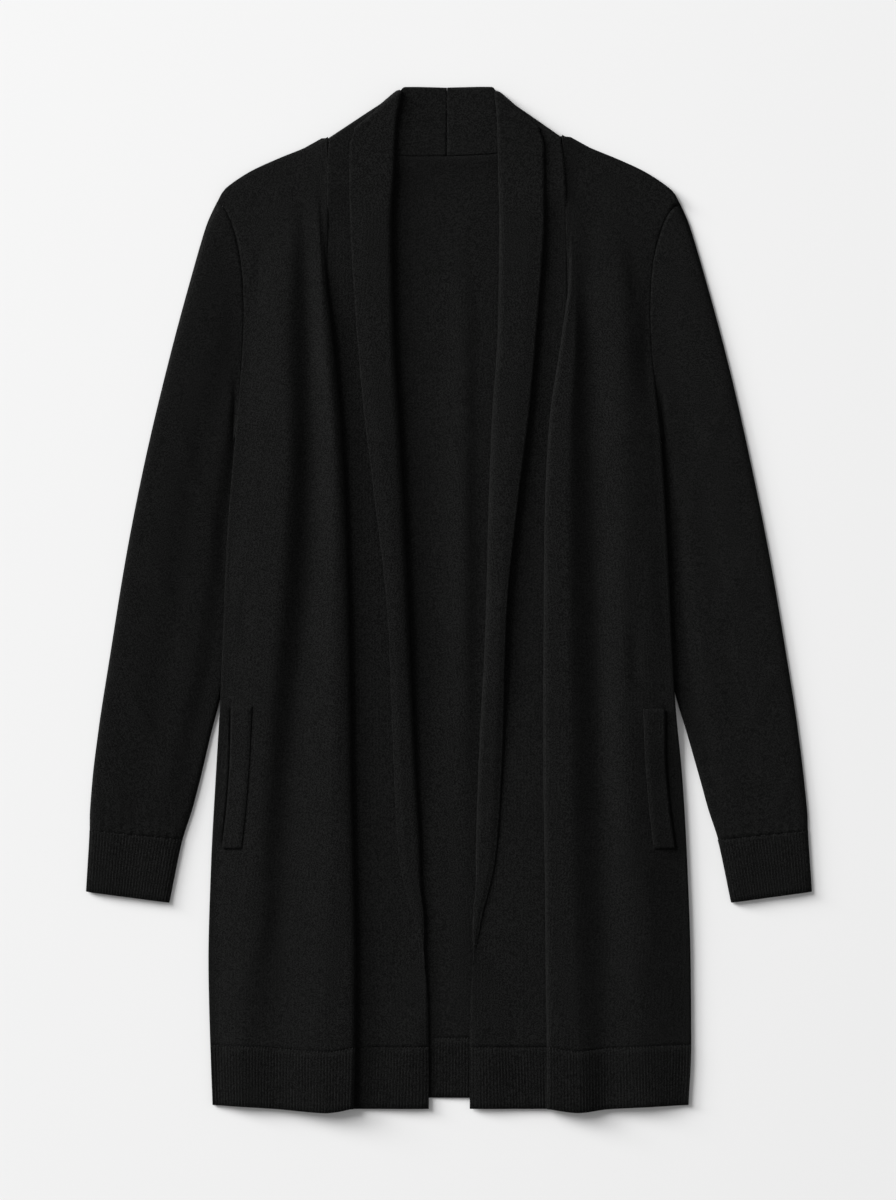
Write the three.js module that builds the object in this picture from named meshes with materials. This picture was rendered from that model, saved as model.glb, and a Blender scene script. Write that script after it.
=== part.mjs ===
import * as THREE from 'three';

// A long open-front duster cardigan of fine jersey, laid flat on its back with the neck at +Y.
// Millimetres, +Z up. LEFT and RIGHT are as seen from above. The knit's right side shows.
const LEFT = -1;
const RIGHT = 1;

// Cloth thickness of each piece, and the clear space left where two pieces meet.
const BODY_WALL = 1.4;
const BAND_WALL = 1.6;
const SLEEVE_WALL = 1.3;
const RIB_WALL = 1.5;
const WELT_WALL = 1.3;
const SEAM_GAP = 0.4;
const ARMHOLE_GAP = 0.8;
const BAND_SEAM_GAP = 0.8;

// The 1 by 1 rib of the hem and the cuffs.
const RIB_PITCH = 2.9;
const RIB_RELIEF = 0.35;

// Heights of the middle of each layer above the floor.
const LAYER_GAP = 0.5;
const BACK_LEVEL = BODY_WALL / 2;
const FRONT_LEVEL = BODY_WALL + LAYER_GAP + BODY_WALL / 2;
// The share of a front crest's rise that the back follows, above where it starts to rise.
const NESTING = 0.6;
const NESTING_START = FRONT_LEVEL + 0.4;
const NESTING_LIMIT = 6.5;

// The shawl collar, folded flat at the side of the neck: its four layers lie on each other.
const NECK_CENTRE_Z = 4.2;
const NECK_RADIUS = 2.3;
const NECK_ROLL = 2.1;
const ROLL_SLACK = 1.5;

const SHOULDER = { [LEFT]: [213, 366], [RIGHT]: [211, 365] };
const UNDERARM = { [LEFT]: [196.5, 150], [RIGHT]: [193.7, 150] };
const ARMHOLE_BOW = { [LEFT]: 17.5, [RIGHT]: 20 };
// Under 1, it puts the armhole's deepest point above the middle of its height.
const BOW_POWER = 0.62;
const ARMHOLE_RISE = 0.7;
const ARMHOLE_LIFT = 2.65;
const BACK_EDGE_LIFT = 3.4;
const BACK_NECK_Y = 408;

const lerp = (a, b, t) => a + (b - a) * t;
const clamp01 = (t) => Math.min(1, Math.max(0, t));

function smoothstep(from, to, t) {
  const s = clamp01((t - from) / (to - from));
  return s * s * (3 - 2 * s);
}

// A smooth curve through values at 0, 1, 2 and so on, level at each crest and each trough,
// so no fold swells past the size that its table gives. A loop joins its end to its start.
function curveThrough(values, loop = false) {
  const last = values.length - (loop ? 0 : 1);
  const value = (i) => values[((i % values.length) + values.length) % values.length];
  const rise = (i) => value(i + 1) - value(i);
  const slope = (i) => {
    if (!loop && i === 0) return rise(0);
    if (!loop && i === last) return rise(last - 1);
    const before = rise(i - 1);
    const after = rise(i);
    return before * after <= 0 ? 0 : (2 * before * after) / (before + after);
  };
  return (t) => {
    const i = loop ? Math.floor(t) : Math.min(last - 1, Math.max(0, Math.floor(t)));
    const s = t - i;
    const a = value(i);
    const b = value(i + 1);
    const h = s * s * (3 - 2 * s);
    const inward = s * (1 - s) * (1 - s) * slope(i) - s * s * (1 - s) * slope(i + 1);
    return a + (b - a) * h + inward;
  };
}

// A skin is the middle surface of a piece of cloth: rows of knots down the cloth, joined
// by smooth curves down it and across it. Call it with how far across and how far down.
function skinThrough(rows, loop = false) {
  const down = rows[0].map((_, k) => [0, 1, 2].map((c) => curveThrough(rows.map((row) => row[k][c]))));
  return (across, along) => {
    const knots = down.map((curves) => curves.map((curve) => curve(along)));
    return [0, 1, 2].map((c) => curveThrough(knots.map((p) => p[c]), loop)(across));
  };
}

function normalOf(skin, across, along) {
  const step = 0.002;
  const difference = (a, b) => new THREE.Vector3(a[0] - b[0], a[1] - b[1], a[2] - b[2]);
  const acrossWay = difference(skin(across + step, along), skin(across - step, along));
  const alongWay = difference(skin(across, along + step), skin(across, along - step));
  return acrossWay.cross(alongWay).normalize();
}

// Where a skin's row passes over a distance x from the middle, between two knots.
function acrossAt(skin, along, x, from, to) {
  let [low, high] = [from, to];
  for (let i = 0; i < 40; i++) {
    const middle = (low + high) / 2;
    if (Math.abs(skin(middle, along)[0]) < x) low = middle;
    else high = middle;
  }
  return (low + high) / 2;
}

function alongAt(skin, across, y, from, to) {
  let [low, high] = [from, to];
  for (let i = 0; i < 40; i++) {
    const middle = (low + high) / 2;
    if (skin(across, middle)[1] > y) low = middle;
    else high = middle;
  }
  return (low + high) / 2;
}

// Places along a skin's row that are an even distance apart.
function evenly(skin, along, from, to, count) {
  const fine = Array.from({ length: 401 }, (_, i) => lerp(from, to, i / 400));
  const length = [0];
  for (let i = 1; i < fine.length; i++) {
    const [a, b] = [skin(fine[i - 1], along), skin(fine[i], along)];
    length.push(length[i - 1] + Math.hypot(b[0] - a[0], b[1] - a[1], b[2] - a[2]));
  }
  return Array.from({ length: count + 1 }, (_, i) => {
    const wanted = (length.at(-1) * i) / count;
    const j = Math.max(1, length.findIndex((d) => d >= wanted - 1e-9));
    const share = (wanted - length[j - 1]) / (length[j] - length[j - 1]);
    return lerp(fine[j - 1], fine[j], share);
  });
}

function rowLength(skin, along, from, to) {
  let total = 0;
  for (let i = 0; i < 200; i++) {
    const [a, b] = [0, 1].map((j) => skin(lerp(from, to, (i + j) / 200), along));
    total += Math.hypot(b[0] - a[0], b[1] - a[1], b[2] - a[2]);
  }
  return total;
}

// The cloth wall: the skin's points moved half the thickness out and half in, closed at
// its edges. raised(i) says how far column i of the right side stands out, as ribs do.
function wall(name, skin, { across, along, thick, face, colour, loop = false, raised = () => 0 }) {
  const points = [];
  const [columns, rows] = [across.length, along.length];
  for (const way of [1, -1]) {
    for (const v of along) {
      across.forEach((u, i) => {
        const n = normalOf(skin, u, v).multiplyScalar(face * way * (thick / 2 + (way > 0 ? raised(i) : 0)));
        const p = skin(u, v);
        points.push(p[0] + n.x, p[1] + n.y, p[2] + n.z);
      });
    }
  }
  const at = (layer, i, j) => layer * columns * rows + j * columns + (i % columns);
  const faces = [];
  const quad = (a, b, c, d) => faces.push(a, b, c, a, c, d);
  const spans = loop ? columns : columns - 1;
  for (let j = 0; j < rows - 1; j++) {
    for (let i = 0; i < spans; i++) {
      quad(at(0, i, j), at(0, i, j + 1), at(0, i + 1, j + 1), at(0, i + 1, j));
      quad(at(1, i, j), at(1, i + 1, j), at(1, i + 1, j + 1), at(1, i, j + 1));
    }
    if (!loop) {
      quad(at(0, 0, j), at(1, 0, j), at(1, 0, j + 1), at(0, 0, j + 1));
      const e = columns - 1;
      quad(at(0, e, j), at(0, e, j + 1), at(1, e, j + 1), at(1, e, j));
    }
  }
  for (let i = 0; i < spans; i++) {
    const e = rows - 1;
    quad(at(0, i, 0), at(0, i + 1, 0), at(1, i + 1, 0), at(1, i, 0));
    quad(at(0, i, e), at(1, i, e), at(1, i + 1, e), at(0, i + 1, e));
  }
  return cloth(name, points, faces, colour);
}

// A mesh of cloth whose faces point outwards, whichever way its grid ran.
function cloth(name, points, faces, colour) {
  let volume = 0;
  const corner = (i) => new THREE.Vector3(...points.slice(3 * i, 3 * i + 3));
  for (let f = 0; f < faces.length; f += 3) {
    const [a, b, c] = [corner(faces[f]), corner(faces[f + 1]), corner(faces[f + 2])];
    volume += a.dot(b.cross(c)) / 6;
  }
  if (volume < 0) faces.reverse();
  const geometry = new THREE.BufferGeometry();
  geometry.setAttribute('position', new THREE.Float32BufferAttribute(points, 3));
  geometry.setIndex(faces);
  const material = new THREE.MeshStandardMaterial({ color: colour, roughness: 0.92, metalness: 0 });
  const mesh = new THREE.Mesh(geometry, material);
  mesh.name = name;
  return mesh;
}

const JERSEY = 0x17161a;
const RIBBING = 0x141317;

const steps = (from, to, count) => Array.from({ length: count + 1 }, (_, i) => lerp(from, to, i / count));

// The armhole runs from the shoulder, share 0, to the underarm, share 1, and bows inwards.
function armhole(side, share, outward = 0) {
  const place = (t) => {
    const bow = ARMHOLE_BOW[side] * Math.sin(Math.PI * clamp01(t) ** BOW_POWER);
    return [lerp(SHOULDER[side][0], UNDERARM[side][0], t) - bow, lerp(SHOULDER[side][1], UNDERARM[side][1], t)];
  };
  const step = 0.02;
  const near = Math.min(1 - step, Math.max(step, share));
  const [a, b] = [place(near - step), place(near + step)];
  const long = Math.hypot(b[0] - a[0], b[1] - a[1]);
  const [x, y] = place(share);
  return [x + (outward * (a[1] - b[1])) / long, y + (outward * (b[0] - a[0])) / long];
}

// Fronts. One row for each level down the cloth; every x is a distance from the middle.
// The front edge is pleated: from the seam with the band the cloth runs back under itself
// to the fold, turns there, and goes out over crest C, dip B and crest A to the side.
// pleat is 0 where the cloth is still plain and 1 where the pleat is full.
const FRONT_COLUMNS = ['ySeam', 'ySide', 'seam', 'fold', 'cX', 'bX', 'aX', 'side', 'pleat', 'cZ', 'bZ', 'aZ'];
const FRONT_ROWS = {
  [LEFT]: [
    [425, 366, 111.8, 111, 137, 160, 186, 213, 0.0, 2.8, 2.8, 2.8],
    [368, 323, 111.8, 111, 122, 134, 148, 192, 0.0, 4.2, 3.2, 4.4],
    [304, 277, 111.8, 111, 118.5, 132.5, 149.5, 190, 0.5, 7.0, 3.4, 7.6],
    [239, 221, 111.8, 107, 114, 130.5, 151, 191, 1.0, 8.8, 3.4, 9.4],
    [156, 150, 111.8, 99.5, 107, 129, 149, 196.5, 1.0, 9.6, 3.6, 11.0],
    [55, 55, 111.5, 94.5, 104.5, 131, 153.5, 204, 1.0, 9.6, 3.6, 11.4],
    [-92, -92, 111.5, 91, 105, 141, 166, 210.2, 1.0, 9.6, 4.2, 10.4],
    [-166, -166, 112, 90, 105.5, 147, 171, 214.8, 1.0, 9.4, 4.4, 9.6],
    [-248, -248, 112.5, 88, 107, 151, 177, 219.1, 1.0, 9.2, 4.6, 8.6],
    [-331, -331, 113.5, 86.5, 110, 156, 184, 221.3, 1.0, 8.8, 4.8, 7.4],
    [-411, -409, 114.5, 87, 113, 160, 190, 219.6, 1.0, 8.2, 5.2, 6.4],
    [-467, -464, 116.5, 88.5, 114, 161, 190, 217.6, 1.0, 7.8, 5.2, 6.0],
  ],
  [RIGHT]: [
    [427, 365, 103.5, 103, 132, 156, 182, 211, 0.0, 2.8, 2.8, 2.8],
    [368, 322, 106.5, 106, 116, 131, 154, 190.5, 0.0, 3.6, 3.2, 4.0],
    [304, 277, 108, 107.2, 115.5, 128, 158, 186.5, 0.4, 5.0, 3.4, 7.0],
    [239, 221, 108.4, 103, 114, 127, 160, 185.5, 1.0, 7.6, 3.6, 8.8],
    [156, 150, 107.5, 91.5, 109, 129, 162, 193.7, 1.0, 9.0, 3.8, 9.8],
    [55, 55, 108.5, 87.5, 108, 132, 163, 199.5, 1.0, 9.4, 3.6, 10.6],
    [-92, -92, 110.9, 86.7, 109, 136, 163, 206.8, 1.0, 9.4, 3.8, 10.4],
    [-166, -166, 111, 86.7, 110, 138, 165, 213.9, 1.0, 9.4, 4.0, 10.0],
    [-248, -248, 111, 88, 111, 141, 170, 218.5, 1.0, 9.2, 4.4, 9.4],
    [-331, -331, 111, 88.8, 113, 143, 174, 221.3, 1.0, 9.0, 4.8, 8.4],
    [-411, -409, 111, 89.7, 117, 145, 176, 221.9, 1.0, 8.4, 5.2, 7.2],
    [-467, -464, 111, 89.7, 118, 146, 178, 219.4, 1.0, 8.0, 5.2, 6.8],
  ],
};
// How much lower or higher than its row each crest and dip meets the ribbed hem, and ends.
const HEM_WAVE = { cX: -3.5, bX: -1.5, aX: -0.5 };
const ARMHOLE_ROWS = [0, 0.2, 0.41, 0.67, 1];
const LIFTED_ROWS = [4, 5, 6];
const SIDE_ROWS = [4.5, 5, 5.5, 6, 6.5, 7, 8, 9];
const HEM_SEAM_ROW = 10;
const HEM_END_ROW = 11;

const named = (columns, row) => Object.fromEntries(columns.map((name, i) => [name, row[i]]));
const frontRows = (side) => FRONT_ROWS[side].map((row) => named(FRONT_COLUMNS, row));

// The height of a body panel's side edge: up over the sleeve's inner edge below the arm.
function sideLevel(index, plain, lifted) {
  return LIFTED_ROWS.includes(index) ? lifted : plain;
}

// The shoulder line is convex: it bows by this times share to the 1.5 times the root of what
// is left, so that it is fullest three quarters of the way out.
const SHOULDER_BOW = 31.4;

function rowY(r, index, x, key) {
  const share = clamp01((x - r.seam) / (r.side - r.seam));
  const bow = index === 0 ? SHOULDER_BOW * share ** 1.5 * Math.sqrt(1 - share) : 0;
  const wave = index >= HEM_SEAM_ROW && key in HEM_WAVE ? HEM_WAVE[key] : 0;
  return lerp(r.ySeam, r.ySide, share) + wave + bow;
}

// The pleat: the level of the cloth that runs back under itself, the radius of each turn,
// how far the turn beside the seam stands out, and the step between its knots where plain.
const UNDER_LEVEL = 4.75;
const TURN = 1.5;
const SEAM_TURN = [2.2, 1.2];
const PLAIN_STEP = 1.3;
// The seam edge lies at the front's level, but at the neck it meets the top of the collar.
const SEAM_EDGE_LEVEL = FRONT_LEVEL + 0.1;
const NECK_EDGE_LEVELS = [5.2, 4.0];
const FRONT_SIDE_FLAT = 5;

function frontKnots(side, r, index) {
  const start = NECK_EDGE_LEVELS[index] ?? SEAM_EDGE_LEVEL;
  const pleated = [
    [r.seam, start],
    [r.seam + SEAM_TURN[0], (start + UNDER_LEVEL) / 2],
    [r.seam + SEAM_TURN[1], UNDER_LEVEL],
    [r.fold + TURN, UNDER_LEVEL],
    [r.fold, UNDER_LEVEL + TURN],
    [r.fold + TURN, UNDER_LEVEL + 2 * TURN],
  ];
  const edge = pleated.map(([x, z], k) => {
    const plainZ = lerp(start, FRONT_LEVEL, k / (pleated.length - 1));
    return [lerp(r.seam + k * PLAIN_STEP, x, r.pleat), lerp(plainZ, z, r.pleat)];
  });
  const armholeZ = FRONT_LEVEL + ARMHOLE_RISE;
  const sideZ = index < 4 ? armholeZ : sideLevel(index, FRONT_LEVEL, armholeZ + ARMHOLE_LIFT);
  const knots = [
    ...edge.map(([x, z]) => [x, rowY(r, index, x), z]),
    [r.cX, rowY(r, index, r.cX, 'cX'), r.cZ],
    [r.bX, rowY(r, index, r.bX, 'bX'), r.bZ],
    [r.aX, rowY(r, index, r.aX, 'aX'), r.aZ],
    [r.side - FRONT_SIDE_FLAT, rowY(r, index, r.side - FRONT_SIDE_FLAT), sideZ],
    [r.side, rowY(r, index, r.side), sideZ],
  ];
  return knots.map(([x, y, z]) => [side * x, y, z]);
}

// Both body panels follow the armhole's curve exactly where the sleeve is sewn in.
function alongArmhole(side, skin, edgeKnot) {
  const shareAt = curveThrough(ARMHOLE_ROWS);
  return (across, along) => {
    const p = skin(across, along);
    if (along > ARMHOLE_ROWS.length - 1) return p;
    const near = smoothstep(edgeKnot - 1.5, edgeKnot, across);
    if (near === 0) return p;
    const [x, y] = armhole(side, shareAt(along), -ARMHOLE_GAP / 2);
    const edge = skin(edgeKnot, along);
    return [p[0] + near * (side * x - edge[0]), p[1] + near * (y - edge[1]), p[2]];
  };
}

// The shares of the armhole at which body and sleeve both have a corner.
const ARMHOLE_CORNERS = [0, 0.02, 0.06, 0.14, 0.24, 0.36, 0.5, 0.64, 0.78, 0.9, 1];

function rowAtShare(share) {
  const shareAt = curveThrough(ARMHOLE_ROWS);
  let [low, high] = [0, ARMHOLE_ROWS.length - 1];
  for (let i = 0; i < 40; i++) {
    const middle = (low + high) / 2;
    if (shareAt(middle) < share) low = middle;
    else high = middle;
  }
  return (low + high) / 2;
}

const armholeRows = ARMHOLE_CORNERS.map(rowAtShare);
const seamOff = (skin, across, along) => {
  const [a, b] = [skin(across, along - 0.05), skin(across, along + 0.05)];
  return (SEAM_GAP / 2) * (0.1 / Math.hypot(b[0] - a[0], b[1] - a[1], b[2] - a[2]));
};

const frontSkins = {};
for (const side of [LEFT, RIGHT]) {
  const rows = frontRows(side).map((r, index) => frontKnots(side, r, index));
  frontSkins[side] = alongArmhole(side, skinThrough(rows), rows[0].length - 1);
}

const sideName = (side) => (side === LEFT ? 'left' : 'right');

function front(side) {
  const skin = frontSkins[side];
  const end = HEM_SEAM_ROW - seamOff(skin, 6, HEM_SEAM_ROW);
  const along = [...armholeRows, ...SIDE_ROWS, end];
  const across = [0, 0.5, 1, 1.5, 2, 3, 3.5, 4, 4.5, 5, 5.35, 5.7, 6, 6.3, 6.65, 7, 7.35, 7.7, 8, 8.35, 8.7, 9, 10];
  const face = side === LEFT ? 1 : -1;
  return wall(`front_${sideName(side)}`, skin, { across, along, thick: BODY_WALL, face, colour: JERSEY });
}

// A ribbed band that carries on from the end of a skin. Ribs stand out on its right side.
function ribbed(name, skin, { from, to, start, end, plain, face, loop = false }) {
  const ribs = Math.round(rowLength(skin, start, from, to) / RIB_PITCH);
  const across = [...evenly(skin, start, from, to, 2 * ribs), ...plain];
  across.sort((a, b) => a - b);
  const raised = (i) => {
    const u = across[i];
    const inside = u > from - 1e-6 && u < to + 1e-6;
    const column = across.filter((w) => w < u - 1e-9 && w > from - 1e-6).length;
    return inside && column % 2 === 1 ? RIB_RELIEF : 0;
  };
  const along = [start + seamOff(skin, (from + to) / 2, start), end];
  return wall(name, skin, { across, along, thick: RIB_WALL - RIB_RELIEF, face, colour: RIBBING, loop, raised });
}

function frontHem(side) {
  return ribbed(`hem_front_${sideName(side)}`, frontSkins[side], {
    from: 4.5,
    to: 9.95,
    start: HEM_SEAM_ROW,
    end: HEM_END_ROW,
    plain: [0, 1, 2, 3, 3.5, 4, 10],
    face: side === LEFT ? 1 : -1,
  });
}

// The back lies flat on the floor, with low ridges nested under the crests of the fronts.
const BACK_MIDDLE_Y = [BACK_NECK_Y, 350, 298, 235, 156, 55, -92, -166, -248, -331, -403, -457.5];
const BACK_MIDDLE = [
  { x: -18, z: 0 },
  { x: 12, z: 2.8 },
  { x: 31, z: 0 },
];
const BACK_MIDDLE_SWELL = [0, 0.1, 0.3, 0.6, 1, 1, 0.9, 0.55, 0.4, 0.3, 0.2, 0.15];

// Where the back's knots lie beside the band's seam, and how much higher its hem ends.
const BACK_SEAM_IN = 8;
const BACK_SEAM_OUT = 3;
const BACK_CREST_OUT = 7;
const BACK_SIDE_FLAT = 8;
const BACK_HEM_RISE = { [HEM_SEAM_ROW]: 3, [HEM_END_ROW]: 4 };

function backKnots(index) {
  const half = (side) => {
    const r = frontRows(side)[index];
    const sideZ = index < 4 ? BACK_LEVEL : sideLevel(index, BACK_LEVEL, BACK_LEVEL + BACK_EDGE_LIFT);
    const hem = BACK_HEM_RISE[index] ?? 0;
    const nested = (z) => BACK_LEVEL + NESTING * Math.max(0, z - NESTING_START);
    const crestX = Math.max(r.cX, r.seam + BACK_CREST_OUT);
    return [
      [side * (r.seam - BACK_SEAM_IN), lerp(r.ySeam, BACK_MIDDLE_Y[index], 0.5) + hem / 2, BACK_LEVEL],
      [side * (r.seam + BACK_SEAM_OUT), rowY(r, index, r.seam) + hem, BACK_LEVEL],
      [side * crestX, rowY(r, index, r.cX) + hem, nested(Math.min(r.cZ, NESTING_LIMIT))],
      [side * r.bX, rowY(r, index, r.bX) + hem, BACK_LEVEL],
      [side * r.aX, rowY(r, index, r.aX) + hem, nested(r.aZ)],
      [side * (r.side - BACK_SIDE_FLAT), rowY(r, index, r.side - BACK_SIDE_FLAT), sideZ],
      [side * r.side, rowY(r, index, r.side), sideZ],
    ];
  };
  const middle = BACK_MIDDLE.map(({ x, z }) => {
    return [x, BACK_MIDDLE_Y[index], BACK_LEVEL + z * BACK_MIDDLE_SWELL[index]];
  });
  return [...half(LEFT).reverse(), ...middle, ...half(RIGHT)];
}

const backRows = BACK_MIDDLE_Y.map((_, index) => backKnots(index));
const BACK_LAST_KNOT = backRows[0].length - 1;

// The back's knots run from the left side to the right, so its two edges are shaped apart.
const backSkin = (() => {
  const plain = skinThrough(backRows);
  const flipped = (across, along) => plain(BACK_LAST_KNOT - across, along);
  const right = alongArmhole(RIGHT, plain, BACK_LAST_KNOT);
  const left = alongArmhole(LEFT, flipped, BACK_LAST_KNOT);
  return (across, along) => {
    return across < BACK_LAST_KNOT / 2 ? left(BACK_LAST_KNOT - across, along) : right(across, along);
  };
})();

function back() {
  const end = HEM_SEAM_ROW - seamOff(backSkin, 8, HEM_SEAM_ROW);
  const along = [...armholeRows, ...SIDE_ROWS, end];
  const across = [...steps(0, 6, 12), 7, 8, 9, ...steps(10, 16, 12)];
  return wall('back', backSkin, { across, along, thick: BODY_WALL, face: -1, colour: JERSEY });
}

// Only the middle of the back's hem shows its ribs; the rest lies under the fronts.
function backHem() {
  return ribbed('hem_back', backSkin, {
    from: 7,
    to: 9,
    start: HEM_SEAM_ROW,
    end: HEM_END_ROW,
    plain: [...steps(0, 6, 12), ...steps(10, 16, 12)],
    face: -1,
  });
}

// Sleeves, one row for each ring from the armhole down: how far up its outer and its inner
// edge lie, how far it bows inwards, and the heights of its soft folds.
const SLEEVE_COLUMNS = ['outerY', 'innerY', 'bow', 'crest', 'dip', 'ridge', 'inner'];
const SLEEVE_ROWS = [
  [348, 140, 13, 3.6, 3.4, 3.6, 2.4],
  [282, 115, 8, 4.6, 3.8, 4.8, 2.35],
  [206, 72, 3, 5.0, 4.0, 4.8, 2.35],
  [127, 24, 0, 5.0, 3.8, 4.6, 2.35],
  [41, -26, 0, 4.8, 3.8, 4.6, 2.35],
  [-44, -76, 0, 4.8, 4.0, 4.8, 2.35],
  [-117, -124, 0, 4.6, 3.8, 4.6, 2.8],
  [-166, -166, 0, 4.6, 4.2, 4.8, 3.4],
  [-200, -193, 0, 4.4, 4.2, 4.6, 3.8],
  [-212, -220.5, 0, 4.2, 4.0, 4.2, 4.0],
  [-268, -278, 0, 3.8, 3.6, 3.8, 3.6],
];
// Where the outer edge of each ring lies. The right sleeve is laid a little closer in.
const OUTER_X = {
  [LEFT]: [221.5, 241, 261, 279.6, 296.6, 310.4, 321.8, 327.8, 330.2, 330.2, 333.4],
  [RIGHT]: [218.6, 238.4, 258.4, 276.2, 293.5, 308, 319.4, 325.4, 328.6, 328.8, 332.4],
};
// Where the inner edge of each ring lies: just clear of the body at the underarm, then under
// it, and out from under it again. The two armholes end at different distances from the middle.
const INNER_X = {
  [LEFT]: [198.7, 195, 196, 198, 201, 208, 220, 230, 237.2, 246, 258],
  [RIGHT]: [195.9, 192.2, 193.2, 196.5, 199.5, 205, 218.5, 230.5, 238, 247, 259.3],
};
const CUFF_SEAM_RING = 10;
const CUFF_END_RING = 11;
const SLEEVE_FLOOR = SLEEVE_WALL / 2;
// Levels of the sleeve's two long edges, and of its top beside each of them.
const OUTER_EDGE_Z = 1.7;
const OUTER_TOP_Z = 2.6;
const INNER_EDGE_Z = 1.5;
const INNER_TOP_LIMIT = 3;
// The armhole's shoulder end, and the share of it from which it rises to the underarm.
const SHOULDER_EDGE_Z = 2;
const UNDERARM_RISE_START = 0.75;
// The share of the way from the outer edge to the inner one at which each knot lies.
const TOP_SHARES = [0.05, 0.3, 0.5, 0.7, 0.87, 0.96];
const UNDER_SHARES = [0.96, 0.7, 0.3, 0.05];

function armholeRing(side) {
  const lift = (share) => smoothstep(UNDERARM_RISE_START, 1, share);
  const place = (share) => armhole(side, share, ARMHOLE_GAP / 2);
  const topZ = (share) => FRONT_LEVEL + ARMHOLE_RISE + ARMHOLE_LIFT * lift(share);
  const underZ = (share) => BACK_LEVEL + BACK_EDGE_LIFT * lift(share);
  const knot = (share, z) => [...place(share), z];
  return [
    knot(0, SHOULDER_EDGE_Z),
    ...TOP_SHARES.map((share) => knot(share, topZ(share))),
    knot(1, (topZ(1) + underZ(1)) / 2),
    ...UNDER_SHARES.map((share) => knot(share, underZ(share))),
  ];
}

function sleeveRing(r, outerX, innerX) {
  const place = (share) => {
    const bow = r.bow * Math.sin(Math.PI * share ** BOW_POWER);
    return [lerp(outerX, innerX, share) - bow, lerp(r.outerY, r.innerY, share)];
  };
  const innerTop = Math.min(r.inner, INNER_TOP_LIMIT);
  const tops = [lerp(OUTER_TOP_Z, r.crest, 0.5), r.crest, r.dip, r.ridge, r.inner, innerTop];
  return [
    [...place(0), OUTER_EDGE_Z],
    ...TOP_SHARES.map((share, i) => [...place(share), tops[i]]),
    [...place(1), INNER_EDGE_Z],
    ...UNDER_SHARES.map((share) => [...place(share), SLEEVE_FLOOR]),
  ];
}

const sleeveSkins = {};
for (const side of [LEFT, RIGHT]) {
  const rings = SLEEVE_ROWS.map((row, i) =>
    sleeveRing(named(SLEEVE_COLUMNS, row), OUTER_X[side][i], INNER_X[side][i]));
  const knots = [armholeRing(side), ...rings].map((ring) => ring.map(([x, y, z]) => [side * x, y, z]));
  sleeveSkins[side] = skinThrough(knots, true);
}

const SLEEVE_TOP_KNOTS = TOP_SHARES.length + 1;

function sleeve(side) {
  const skin = sleeveSkins[side];
  const end = CUFF_SEAM_RING - seamOff(skin, 3, CUFF_SEAM_RING);
  const top = [0, 0.4, 1, 1.5, 2, 2.5, 3, 3.5, 4, 4.5, 5, 6, 6.6];
  const under = [SLEEVE_TOP_KNOTS, 7.5, 8, 9, 10, 11, 11.5];
  const along = [0, 0.25, 0.5, 1, 1.5, 2, 3, 4, 5, 6, 7, 8, 9, end];
  const face = side === LEFT ? -1 : 1;
  const sizes = { across: [...top, ...under], along, thick: SLEEVE_WALL, face, colour: JERSEY, loop: true };
  return wall(`sleeve_${sideName(side)}`, skin, sizes);
}

function cuff(side) {
  return ribbed(`cuff_${sideName(side)}`, sleeveSkins[side], {
    from: 0.3,
    to: SLEEVE_TOP_KNOTS - 0.3,
    start: CUFF_SEAM_RING,
    end: CUFF_END_RING,
    plain: [0, 7, 7.5, 8, 9, 10, 11, 11.5],
    face: side === LEFT ? -1 : 1,
    loop: true,
  });
}

// Bands: each is one strip, from the collar's seam at the middle of the back neck, along
// the neck and down the front. Its stand goes from the seam to the roll, and its fall is
// turned back from the roll to the free edge. Across it lie seven knots.
const NECK_COLUMNS = ['seamX', 'seamY', 'rollX', 'rollY', 'freeX', 'freeY'];
const BACK_NECK = {
  [LEFT]: [
    [2.5, 408, 2.5, 470.4, 2.5, 433],
    [36, 408, 17, 470.8, 30, 433.5],
    [73, 412.5, 31, 471.1, 57, 433.5],
    [98, 420, 41, 471, 80, 433.5],
  ],
  [RIGHT]: [
    [-2.1, 408, -2.1, 470.4, -2.1, 433],
    [32, 409.5, 15, 470.8, 28, 433.5],
    [66, 414.5, 29, 471.1, 54, 434],
    [90, 421.5, 39, 471, 76, 434],
  ],
};
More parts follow.
